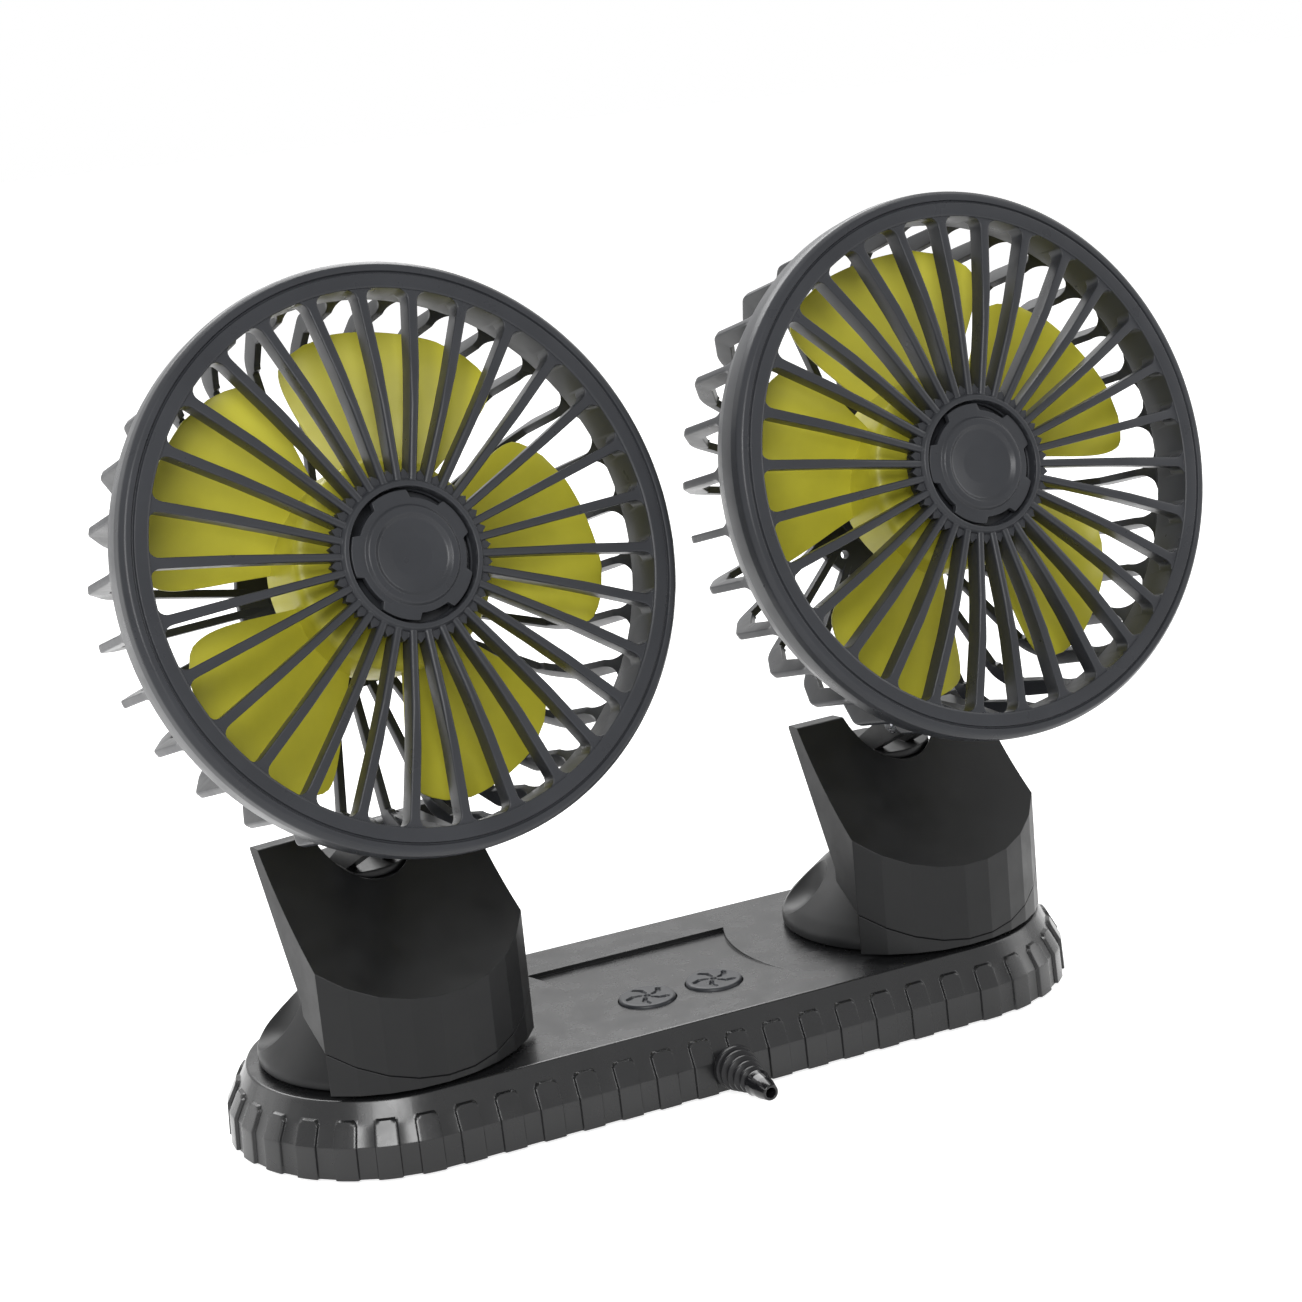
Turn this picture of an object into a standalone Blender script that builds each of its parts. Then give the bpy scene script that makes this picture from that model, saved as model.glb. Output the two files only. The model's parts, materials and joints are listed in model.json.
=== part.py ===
"""Twin car fan: two guarded fan heads on swivelling arms above one long base.

Metres, +Z up. X runs along the base, the front of the fan faces -Y, and the origin is the
middle of the base's underside. Each arm swivels about its foot, a neck pans on the arm, the
head tilts on the neck, and the impeller spins inside its guard.
"""

import math

import bmesh
import bpy
from mathutils import Matrix, Vector

# Fits
GAP = 0.0003
RUN_GAP = 0.0010
OVERCUT = 0.0020

# Base: a long cover with round ends, its floor plate and its rubber mat
SWIVEL_PITCH = 0.138
FLOOR_RADIUS = 0.0388
RIDGE_RADIUS = 0.0384
RIDGE_HEIGHT = 0.0083
DECK_RADIUS = 0.0336
DECK_HEIGHT = 0.0174
COVER_WALL = 0.0020
END_STEPS = 14
MAT_PROUD = 0.0010
MAT_THICKNESS = 0.0016
MAT_INSET = 0.0040
FLOOR_THICKNESS = 0.0020

# Raised grips round the base
GRIP_COUNT = 54
GRIP_WIDTH_SHARE = 0.5
GRIP_HEIGHT = 0.0007
GRIP_CLIMB_SHARE = 0.58

# Shallow tray in the deck between the feet
TRAY_ARC_RADIUS = 0.0460
TRAY_REAR = 0.0190
TRAY_FRONT = -0.0180
TRAY_DEPTH = 0.0011
TRAY_STEPS = 5

# Push buttons and their switches
BUTTON_SPACING = 0.0176
BUTTON_Y = -0.0132
BUTTON_RADIUS = 0.0068
BUTTON_PROUD = 0.0010
BUTTON_TRAVEL = 0.0008
BUTTON_LIP = 0.0012
BUTTON_LIP_THICKNESS = 0.0012
BUTTON_CROWN = 0.0003
BUTTON_STEPS = 24
SWITCH_SIDE = 0.0060
SWITCH_HEIGHT = 0.0030
SWITCH_PLUNGER_RADIUS = 0.0015
BOARD_LENGTH = 0.0520
BOARD_WIDTH = 0.0220
BOARD_THICKNESS = 0.0014
BOARD_POST_RADIUS = 0.0025
BOARD_POST_INSET = 0.0035

# Floor screws and the posts that take them
SCREW_RADIUS = 0.0013
SCREW_HEAD_RADIUS = 0.0025
SCREW_HEAD_HEIGHT = 0.0012
SCREW_LENGTH = 0.0090
SCREW_STEPS = 8
POST_RADIUS = 0.0032
POST_SPREAD_X = 0.0800
POST_Y = 0.0260

# Strain relief on the front wall
RELIEF_HEIGHT = 0.0070
RELIEF_RADIUS = 0.0050
RELIEF_TIP_RADIUS = 0.0028
RELIEF_LENGTH = 0.0200
RELIEF_RIBS = 3
RELIEF_RIB_PITCH = 0.0030
RELIEF_NECK_RADIUS = 0.0024
RELIEF_FLANGE_RADIUS = 0.0052
RELIEF_FLANGE_THICKNESS = 0.0015
RELIEF_BORE = 0.0013
RELIEF_STEPS = 12

# Foot: a domed turret on a hollow stem
FOOT_RADIUS = 0.0315
FOOT_DOME_HEIGHT = 0.0225
FOOT_STEPS = 28
FOOT_FACE_STEPS = 9
FOOT_FACE_PROUD = 0.0008
BEARING_RADIUS = 0.0160
STEM_RADIUS = 0.0100
STEM_BORE = 0.0065
STEM_DROP = 0.0090
CLIP_GROOVE = 0.0015
CLIP_THICKNESS = 0.0016
CLIP_WIDTH = 0.0050
CLIP_OPENING = 0.0080
DIMPLE_RADIUS = 0.0110
DIMPLE_SIDE = 0.0270
DIMPLE_BACK = 0.0120
DIMPLE_RISE = 0.0135

# Arm: a scooped, leaning slab over the foot, with a round post for the neck
ARM_RADIUS = 0.0340
ARM_HALF_WIDTH = 0.0266
ARM_TOP_HALF_WIDTH = 0.0262
ARM_BACK = 0.0120
SEAM_FRONT_HEIGHT = 0.0015
SEAM_SLOPE = math.radians(34.0)
SCOOP_FRONT_HEIGHT = 0.0205
SCOOP_FRONT_SLOPE = math.radians(30.0)
SCOOP_TOP_HEIGHT = 0.0528
SCOOP_TOP_BACK = 0.0010
SCOOP_STEPS = 10
SLAB_THICKNESS = 0.0045
SLAB_BACK_SLOPE = math.radians(62.0)
POST_STEPS = 20
NECK_SETBACK = 0.0055
NECK_SEAT_HEIGHT = 0.0412
NECK_POST_RADIUS = 0.0134
NECK_POST_FOOT = 0.0245
ARM_SCREW_SPREAD = 0.0120
ARM_SCREW_FORWARD = 0.0150
ARM_SCREW_LENGTH = 0.0175
ARM_SCREW_SEAT = 0.0070

# Neck: a round flange with two ears that hold the head's tilt pin
FLANGE_RADIUS = 0.0124
FLANGE_THICKNESS = 0.0022
NECK_STEM_RADIUS = 0.0050
NECK_FLOOR = 0.0055
WASHER_RADIUS = 0.0078
WASHER_THICKNESS = 0.0010
NECK_SCREW_LENGTH = 0.0060
PIVOT_FORWARD = 0.0185
PIVOT_HEIGHT = 0.0120
EAR_RADIUS = 0.0045
EAR_THICKNESS = 0.0026
LUG_THICKNESS = 0.0060
LUG_RADIUS = 0.0042
PIN_RADIUS = 0.0015
PIN_HEAD_RADIUS = 0.0028
PIN_HEAD_THICKNESS = 0.0014
PIN_STEPS = 12

# Fan head: the guard's ring, ribs and hub, seen from the front plane backwards
RING_RADIUS = 0.0630
RING_INNER = 0.0568
RING_DEPTH = 0.0085
SPIGOT_DEPTH = 0.0028
RING_STEPS = 60
RIB_COUNT = 30
RIB_TURN = math.pi / RING_STEPS
RIB_WIDTH = 0.0020
RIB_BACK_WIDTH = 0.0013
RIB_DEPTH = 0.0055
RIB_RECESS = 0.0006
RIB_DOME = 0.0022
HUB_RING_RADIUS = 0.0160
HUB_RING_BORE = 0.0112
HUB_RING_DEPTH = 0.0070
HUB_STEPS = 30
CAP_STEPS = 20
SPINNER_STEPS = 20
CAP_THICKNESS = 0.0030
CAP_DISH_RADIUS = 0.0085
CAP_DISH_DEPTH = 0.0010
CAP_LIP_THICKNESS = 0.0010
CAP_LIP = 0.0014

# Rear shell: a band, ribs that turn inwards, and the motor's disc and sleeve
BAND_RADIUS = 0.0620
BAND_TAPER = 0.0012
BAND_WALL = 0.0020
BAND_REAR = 0.0140
REAR_RIB_WIDTH = 0.0018
REAR_RIB_HEIGHT = 0.0038
REAR_DEPTH = 0.0480
REAR_DISC_RADIUS = 0.0227
REAR_DISC_THICKNESS = 0.0025
VENT_COUNT = 4
VENT_RADIUS = 0.0011
VENT_CIRCLE = 0.0190
PIVOT_DROP = 0.0556
PIVOT_DEPTH = 0.0500

# Impeller
BLADE_COUNT = 5
BLADE_TIP_RADIUS = 0.0525
BLADE_THICKNESS = 0.0014
BLADE_MIDDLE = 0.0205
BLADE_PITCH = math.radians(28.0)
BLADE_CHORD_STEPS = 4
SPINNER_RADIUS = 0.0230
SPINNER_FRONT = 0.0096
SPINNER_LENGTH = 0.0165
SPINNER_WALL = 0.0015
SPINNER_GRIP = 0.0050

# Motor and its screws: the motor reaches from the rear disc to just behind the impeller
MOTOR_RADIUS = 0.0120
MOTOR_CLEARANCE = 0.0010
MOTOR_LENGTH = REAR_DEPTH - REAR_DISC_THICKNESS - GAP - SPINNER_FRONT - SPINNER_LENGTH - MOTOR_CLEARANCE
MOTOR_SLEEVE_WALL = 0.0016
MOTOR_SLEEVE_SHARE = 0.70
MOTOR_NOSE_RADIUS = 0.0032
MOTOR_NOSE_LENGTH = 0.0014
MOTOR_SCREW_CIRCLE = 0.0075
MOTOR_SCREW_LENGTH = 0.0050
SHAFT_RADIUS = 0.0011
SHAFT_IN_MOTOR_SHARE = 0.40
MOTOR_STEPS = 20

# How the photographed fan stands: turn of each arm, yaw and upward tilt of its head, and its impeller's turn
SIDES = {
    "left": {
        "sign": -1.0, "arm": math.radians(10.0), "yaw": math.radians(7.5),
        "tilt": math.radians(17.3), "spin": math.radians(5.0),
    },
    "right": {
        "sign": 1.0, "arm": math.radians(4.0), "yaw": math.radians(4.0),
        "tilt": math.radians(14.6), "spin": math.radians(29.0),
    },
}

# Outlines as shares of the sizes that they follow
RING_PROFILE_SHARES = ((0.00, 0.10), (0.20, 0.00), (0.88, 0.00), (1.00, 0.20), (1.00, 1.00))
DOME_PROFILE_SHARES = ((1.00, 0.09), (0.95, 0.20), (0.84, 0.35), (0.66, 0.58), (0.45, 0.82), (0.28, 1.00))
REAR_RIB_PATH_SHARES = ((0.985, 0.70), (0.880, 0.880))
BLADE_LEAD_SHARES = ((0.25, -0.34), (0.50, -0.42), (0.76, -0.45), (0.92, -0.39), (1.00, -0.24))
BLADE_TRAIL_SHARES = ((0.25, 0.26), (0.50, 0.31), (0.76, 0.33), (0.92, 0.28), (1.00, 0.14))

PLASTIC = (0.052, 0.054, 0.060)
DARK_PLASTIC = (0.014, 0.014, 0.016)
OLIVE = (0.48, 0.44, 0.035)
STEEL = (0.55, 0.56, 0.58)
RUBBER = (0.020, 0.020, 0.020)
BOARD_GREEN = (0.02, 0.14, 0.06)


def clear_scene():
    """Removes whatever the open file holds."""
    for thing in list(bpy.data.objects):
        bpy.data.objects.remove(thing, do_unlink=True)


def material(name, colour, roughness, metallic=0.0):
    """Returns the named material, made on its first use."""
    found = bpy.data.materials.get(name)
    if found:
        return found
    made = bpy.data.materials.new(name)
    made.use_nodes = True
    shader = made.node_tree.nodes["Principled BSDF"]
    shader.inputs["Base Color"].default_value = (*colour, 1.0)
    shader.inputs["Roughness"].default_value = roughness
    shader.inputs["Metallic"].default_value = metallic
    return made


def add_object(name, shape, look, parent=None):
    """Turns a bmesh into a named, smooth-shaded object."""
    bmesh.ops.recalc_face_normals(shape, faces=shape.faces)
    mesh = bpy.data.meshes.new(name)
    shape.to_mesh(mesh)
    shape.free()
    mesh.shade_smooth()
    mesh.set_sharp_from_angle(angle=math.radians(35.0))
    made = bpy.data.objects.new(name, mesh)
    bpy.context.scene.collection.objects.link(made)
    if look:
        mesh.materials.append(look)
    made.parent = parent
    return made


def add_empty(name, parent=None, location=(0.0, 0.0, 0.0), rotation=(0.0, 0.0, 0.0)):
    """Adds a joint's frame."""
    made = bpy.data.objects.new(name, None)
    bpy.context.scene.collection.objects.link(made)
    made.parent = parent
    made.location = location
    made.rotation_euler = rotation
    return made


def join_shapes(body, tool, operation):
    """Applies one Boolean between two objects in the same frame and removes the tool."""
    step = body.modifiers.new(operation.lower(), "BOOLEAN")
    step.operation = operation
    step.solver = "EXACT"
    step.object = tool
    bpy.context.view_layer.update()
    graph = bpy.context.evaluated_depsgraph_get()
    result = bpy.data.meshes.new_from_object(body.evaluated_get(graph))
    body.modifiers.clear()
    body.data = result
    bpy.data.objects.remove(tool, do_unlink=True)
    result.shade_smooth()
    result.set_sharp_from_angle(angle=math.radians(35.0))
    return body


def cut(body, shape):
    """Cuts a bmesh out of an object."""
    return join_shapes(body, add_object("cutter", shape, None, body.parent), "DIFFERENCE")


def fuse(body, shape):
    """Joins a bmesh to an object."""
    return join_shapes(body, add_object("addition", shape, None, body.parent), "UNION")


def keep(body, shape):
    """Keeps only what an object shares with a bmesh."""
    return join_shapes(body, add_object("keeper", shape, None, body.parent), "INTERSECT")


def loft(rings, shape=None):
    """Skins rings of equal count into a closed body."""
    shape = shape or bmesh.new()
    rows = [[shape.verts.new(point) for point in ring] for ring in rings]
    count = len(rows[0])
    for low, high in zip(rows, rows[1:]):
        for k in range(count):
            nxt = (k + 1) % count
            shape.faces.new((low[k], low[nxt], high[nxt], high[k]))
    shape.faces.new(list(reversed(rows[0])))
    shape.faces.new(rows[-1])
    return shape


def circle(radius, height, steps, centre=(0.0, 0.0), turn=0.0):
    """Points of a level circle."""
    return [
        Vector((
            centre[0] + radius * math.cos(turn + math.tau * k / steps),
            centre[1] + radius * math.sin(turn + math.tau * k / steps),
            height,
        ))
        for k in range(steps)
    ]


def disc(radius, low, high, steps, centre=(0.0, 0.0), turn=0.0, shape=None):
    """A round column between two heights."""
    rings = [circle(radius, z, steps, centre, turn) for z in (low, high)]
    return loft(rings, shape)


def turned(profile, steps, centre=(0.0, 0.0), turn=0.0, shape=None):
    """Turns a closed outline of (radius, height) pairs about the vertical, with a hole where it has one."""
    shape = shape or bmesh.new()
    rows = []
    for radius, height in profile:
        if radius == 0.0:
            rows.append([shape.verts.new((centre[0], centre[1], height))])
        else:
            rows.append([shape.verts.new(point) for point in circle(radius, height, steps, centre, turn)])
    for low, high in zip(rows, rows[1:] + rows[:1]):
        for k in range(steps):
            nxt = (k + 1) % steps
            corners = [low[k % len(low)], low[nxt % len(low)], high[nxt % len(high)], high[k % len(high)]]
            unique = list(dict.fromkeys(corners))
            if len(unique) > 2:
                shape.faces.new(unique)
    return shape


def prism(outline, low, high, axis="z"):
    """Extrudes an outline of pairs along an axis: pairs are (x, y), or (y, z) along x."""
    if axis == "x":
        return loft([[Vector((level, a, b)) for a, b in outline] for level in (low, high)])
    return loft([[Vector((a, b, level)) for a, b in outline] for level in (low, high)])


def tube(radius, bore, low, high, steps, turn=0.0):
    """A ring with square edges."""
    return turned(((bore, low), (radius, low), (radius, high), (bore, high)), steps, (0.0, 0.0), turn)


def rim_point(distance, radius, height):
    """A point of the base's outline, by its distance along the ridge from the front left."""
    half_loop = SWIVEL_PITCH + math.pi * RIDGE_RADIUS
    side = 1.0
    if distance >= half_loop:
        distance -= half_loop
        side = -1.0
    if distance <= SWIVEL_PITCH:
        return Vector((side * (distance - SWIVEL_PITCH / 2), -side * radius, height))
    angle = (distance - SWIVEL_PITCH) / RIDGE_RADIUS - math.pi / 2
    return Vector((side * (SWIVEL_PITCH / 2 + radius * math.cos(angle)), side * radius * math.sin(angle), height))


def stadium(radius, height):
    """The base's outline at one height, with plain round ends."""
    points = []
    for side in (1.0, -1.0):
        for k in range(END_STEPS + 1):
            angle = math.pi * k / END_STEPS - math.pi / 2
            x = side * (SWIVEL_PITCH / 2 + radius * math.cos(angle))
            points.append(Vector((x, side * radius * math.sin(angle), height)))
    return points


def base_skin():
    """The cover's outer form, with a grip at each step of its wall and slope."""
    slope = Vector((DECK_RADIUS - RIDGE_RADIUS, DECK_HEIGHT - RIDGE_HEIGHT))
    climb = (RIDGE_RADIUS + slope[0] * GRIP_CLIMB_SHARE, RIDGE_HEIGHT + slope[1] * GRIP_CLIMB_SHARE)
    levels = (
        (FLOOR_RADIUS, MAT_PROUD, 1.0),
        (RIDGE_RADIUS, RIDGE_HEIGHT, 1.0),
        (climb[0], climb[1], 1.0),
        (climb[0], climb[1], 0.0),
        (DECK_RADIUS, DECK_HEIGHT, 0.0),
    )
    pitch = 2 * (SWIVEL_PITCH + math.pi * RIDGE_RADIUS) / GRIP_COUNT
    rings = []
    for radius, height, raised in levels:
        ring = []
        for k in range(GRIP_COUNT):
            start = (k + (1 - GRIP_WIDTH_SHARE) / 2) * pitch
            end = start + GRIP_WIDTH_SHARE * pitch
            for distance, lift in ((start, 0.0), (start, 1.0), (end, 1.0), (end, 0.0)):
                ring.append(rim_point(distance, radius + lift * raised * GRIP_HEIGHT, height))
        rings.append(ring)
    shape = loft(rings)
    bmesh.ops.remove_doubles(shape, verts=shape.verts, dist=GAP / 100)
    return shape


def tray_shape():
    """The shallow tray's cutter: deep at the rear, flush at the front, with ends round the feet."""
    outline = []
    for side in (1.0, -1.0):
        centre = side * SWIVEL_PITCH / 2
        ends = (TRAY_FRONT, TRAY_REAR) if side > 0 else (TRAY_REAR, TRAY_FRONT)
        angles = [math.asin(y / TRAY_ARC_RADIUS) for y in ends]
        for k in range(TRAY_STEPS + 1):
            angle = angles[0] + (angles[1] - angles[0]) * k / TRAY_STEPS
            outline.append((centre - side * TRAY_ARC_RADIUS * math.cos(angle), TRAY_ARC_RADIUS * math.sin(angle)))

    def floor(y):
        return DECK_HEIGHT - TRAY_DEPTH * (y - TRAY_FRONT) / (TRAY_REAR - TRAY_FRONT)

    low = [Vector((x, y, floor(y))) for x, y in outline]
    high = [Vector((x, y, DECK_HEIGHT + OVERCUT)) for x, y in outline]
    return loft([low, high])


def screw_shape(radius, head_radius, length, head_height, recess=None):
    """A screw that points up, its head's top face at height zero below the seat."""
    recess = recess or head_height / 2
    slot = head_radius / 2
    return turned(
        (
            (0.0, -head_height + recess), (slot, -head_height), (head_radius, -head_height), (head_radius, 0.0),
            (radius, 0.0), (radius, length), (0.0, length),
        ),
        SCREW_STEPS,
    )


def floor_posts():
    """Where the floor screws stand."""
    return [(sx * POST_SPREAD_X / 2, sy * POST_Y) for sx in (1.0, -1.0) for sy in (1.0, -1.0)]


def board_posts():
    """Where the circuit board hangs from the deck."""
    x = BOARD_LENGTH / 2 - BOARD_POST_INSET
    return [(side * x, 0.0) for side in (1.0, -1.0)]


def board_top():
    """Height of the circuit board's upper face, set by the buttons and switches above it."""
    lip_bottom = DECK_HEIGHT - COVER_WALL - TRAY_DEPTH - BUTTON_TRAVEL - BUTTON_LIP_THICKNESS - 2 * GAP
    return lip_bottom - BUTTON_TRAVEL - SWITCH_HEIGHT


def build_cover(look):
    """The base cover, open below, with posts, stem holes, button holes and the relief's hole."""
    cover = add_object("base_cover", base_skin(), look)
    ceiling = DECK_HEIGHT - COVER_WALL - TRAY_DEPTH
    inner = [
        stadium(FLOOR_RADIUS - COVER_WALL, MAT_PROUD - OVERCUT),
        stadium(RIDGE_RADIUS - COVER_WALL, RIDGE_HEIGHT),
        stadium(DECK_RADIUS - COVER_WALL, ceiling),
    ]
    cut(cover, loft(inner))
    cut(cover, tray_shape())
    for x, y in floor_posts():
        post_foot = MAT_PROUD + MAT_THICKNESS + FLOOR_THICKNESS
        fuse(cover, disc(POST_RADIUS, post_foot, ceiling + COVER_WALL / 2, SCREW_STEPS, (x, y)))
        cut(cover, disc(SCREW_RADIUS + GAP, post_foot - OVERCUT, ceiling, SCREW_STEPS, (x, y)))
    for x, y in board_posts():
        fuse(cover, disc(BOARD_POST_RADIUS, board_top() + GAP, ceiling + COVER_WALL / 2, SCREW_STEPS, (x, y)))
    for side in (1.0, -1.0):
        x = side * SWIVEL_PITCH / 2
        cut(cover, disc(STEM_RADIUS + GAP, RIDGE_HEIGHT, DECK_HEIGHT + OVERCUT, POST_STEPS, (x, 0.0)))
        x = side * BUTTON_SPACING / 2
        cut(cover, disc(BUTTON_RADIUS + GAP, RIDGE_HEIGHT, DECK_HEIGHT + OVERCUT, BUTTON_STEPS, (x, BUTTON_Y)))
    hole = disc(RELIEF_NECK_RADIUS + GAP, -OVERCUT, FLOOR_RADIUS / 2, RELIEF_STEPS)
    hole.transform(Matrix.Translation((0.0, -FLOOR_RADIUS, RELIEF_HEIGHT)) @ Matrix.Rotation(-math.pi / 2, 4, "X"))
    cut(cover, hole)
    return cover


def build_floor(look, mat_look, screw_look):
    """The floor plate, its rubber mat and its four screws."""
    low = MAT_THICKNESS
    high = MAT_PROUD + MAT_THICKNESS + FLOOR_THICKNESS - GAP
    radius = FLOOR_RADIUS - COVER_WALL - GAP
    plate = add_object("floor_plate", loft([stadium(radius, low + GAP), stadium(radius, high)]), look)
    for x, y in floor_posts():
        cut(plate, disc(SCREW_RADIUS + GAP, 0.0, high + OVERCUT, SCREW_STEPS, (x, y)))
        pocket = low + GAP + SCREW_HEAD_HEIGHT + GAP
        cut(plate, disc(SCREW_HEAD_RADIUS + GAP, 0.0, pocket, SCREW_STEPS, (x, y)))
    mat_radius = radius - MAT_INSET
    mat = add_object("rubber_mat", loft([stadium(mat_radius, 0.0), stadium(mat_radius, MAT_THICKNESS)]), mat_look)
    names = ("rear_right", "front_right", "rear_left", "front_left")
    for name, (x, y) in zip(names, floor_posts()):
        shape = screw_shape(SCREW_RADIUS, SCREW_HEAD_RADIUS, SCREW_LENGTH, SCREW_HEAD_HEIGHT)
        screw = add_object("base_screw_" + name, shape, screw_look)
        screw.location = (x, y, low + GAP + SCREW_HEAD_HEIGHT)
    return plate, mat


def build_board(look, switch_look):
    """The circuit board under the deck, with one push switch under each button."""
    top = board_top()
    half = (BOARD_LENGTH / 2, BOARD_WIDTH / 2)
    outline = [(-half[0], -half[1]), (half[0], -half[1]), (half[0], half[1]), (-half[0], half[1])]
    shift = BUTTON_Y + half[1] / 2
    outline = [(x, y + shift) for x, y in outline]
    board = add_object("circuit_board", prism(outline, top - BOARD_THICKNESS, top), look)
    for side, name in ((-1.0, "left"), (1.0, "right")):
        x = side * BUTTON_SPACING / 2
        half_side = SWITCH_SIDE / 2
        square = [
            (x - half_side, BUTTON_Y - half_side), (x + half_side, BUTTON_Y - half_side),
            (x + half_side, BUTTON_Y + half_side), (x - half_side, BUTTON_Y + half_side),
        ]
        case_top = top + SWITCH_HEIGHT - 2 * BUTTON_TRAVEL
        switch = add_object(name + "_switch", prism(square, top + GAP, case_top), switch_look)
        plunger = disc(SWITCH_PLUNGER_RADIUS, top + SWITCH_HEIGHT / 4, case_top + BUTTON_TRAVEL / 4, SCREW_STEPS,
                       (x, BUTTON_Y))
        fuse(switch, plunger)
    return board


def build_button(name, side, look):
    """A round push button with a lip below the deck, its stem over the switch."""
    lip_top = DECK_HEIGHT - COVER_WALL - TRAY_DEPTH - GAP
    lip_bottom = lip_top - BUTTON_LIP_THICKNESS
    top = DECK_HEIGHT + BUTTON_PROUD
    crown = BUTTON_CROWN
    stem_foot = board_top() + SWITCH_HEIGHT - 2 * BUTTON_TRAVEL + BUTTON_TRAVEL / 4 + BUTTON_TRAVEL + GAP
    profile = (
        (0.0, stem_foot), (SWITCH_PLUNGER_RADIUS, stem_foot), (SWITCH_PLUNGER_RADIUS, lip_bottom),
        (BUTTON_RADIUS + BUTTON_LIP, lip_bottom), (BUTTON_RADIUS + BUTTON_LIP, lip_top), (BUTTON_RADIUS, lip_top),
        (BUTTON_RADIUS, top - 2 * crown), (BUTTON_RADIUS - 2 * crown, top), (0.0, top - 2 * crown),
    )
    button = add_object(name, turned(profile, BUTTON_STEPS), look)
    button.location = (side * BUTTON_SPACING / 2, BUTTON_Y, 0.0)
    return button


def build_relief(look):
    """The ribbed, tapering strain relief that stands out of the front wall, with a round bore."""
    flange_back = GRIP_HEIGHT + GAP
    profile = [(RELIEF_BORE, -COVER_WALL - RELIEF_FLANGE_THICKNESS), (RELIEF_NECK_RADIUS, -COVER_WALL -
               RELIEF_FLANGE_THICKNESS), (RELIEF_NECK_RADIUS, flange_back),
               (RELIEF_FLANGE_RADIUS, flange_back), (RELIEF_FLANGE_RADIUS, flange_back + RELIEF_FLANGE_THICKNESS)]
    start = flange_back + RELIEF_FLANGE_THICKNESS
    for k in range(RELIEF_RIBS):
        low = start + k * RELIEF_RIB_PITCH
        shrink = 1 - (k + 1) / (RELIEF_RIBS + 1) * (1 - RELIEF_TIP_RADIUS / RELIEF_RADIUS)
        groove = RELIEF_NECK_RADIUS * shrink
        ring = RELIEF_RADIUS * shrink
        profile += [(groove, low), (groove, low + RELIEF_RIB_PITCH / 3), (ring, low + RELIEF_RIB_PITCH / 2),
                    (ring, low + RELIEF_RIB_PITCH)]
    last = start + RELIEF_RIBS * RELIEF_RIB_PITCH
    profile += [(RELIEF_TIP_RADIUS, last), (RELIEF_TIP_RADIUS, RELIEF_LENGTH), (RELIEF_BORE, RELIEF_LENGTH)]
    relief = add_object("strain_relief", turned(profile, RELIEF_STEPS), look)
    relief.location = (0.0, -FLOOR_RADIUS, RELIEF_HEIGHT)
    relief.rotation_euler = (math.pi / 2, 0.0, 0.0)
    return relief


def arm_outline(half_width, radius):
    """The round front of the arm's plan, in facets, seen from above in the arm's frame."""
    corner = math.asin(half_width / radius)
    points = []
    for k in range(FOOT_FACE_STEPS + 1):
        angle = -math.pi / 2 - corner + 2 * corner * k / FOOT_FACE_STEPS
        points.append((radius * math.cos(angle), radius * math.sin(angle)))
    return points


def scoop_curve():
    """The scooped front face from its low front edge to its top, as (y, z) in the arm's frame."""
    start = Vector((-ARM_RADIUS, SCOOP_FRONT_HEIGHT))
    end = Vector((SCOOP_TOP_BACK, SCOOP_TOP_HEIGHT))
    chord = end - start
    turn = 2 * (math.atan2(chord[1], chord[0]) - SCOOP_FRONT_SLOPE)
    bend = chord.length / (2 * math.sin(turn / 2))
    centre = start + bend * Vector((-math.sin(SCOOP_FRONT_SLOPE), math.cos(SCOOP_FRONT_SLOPE)))
    points = []
    for k in range(SCOOP_STEPS + 1):
        angle = SCOOP_FRONT_SLOPE + turn * k / SCOOP_STEPS
        points.append(centre + bend * Vector((math.sin(angle), -math.cos(angle))))
    return points


def seam_height(y, clearance=0.0):
    """Height of the inclined seam between foot and arm, in the arm's frame."""
    return SEAM_FRONT_HEIGHT + math.tan(SEAM_SLOPE) * (y + ARM_RADIUS) + clearance / math.cos(SEAM_SLOPE)


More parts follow.
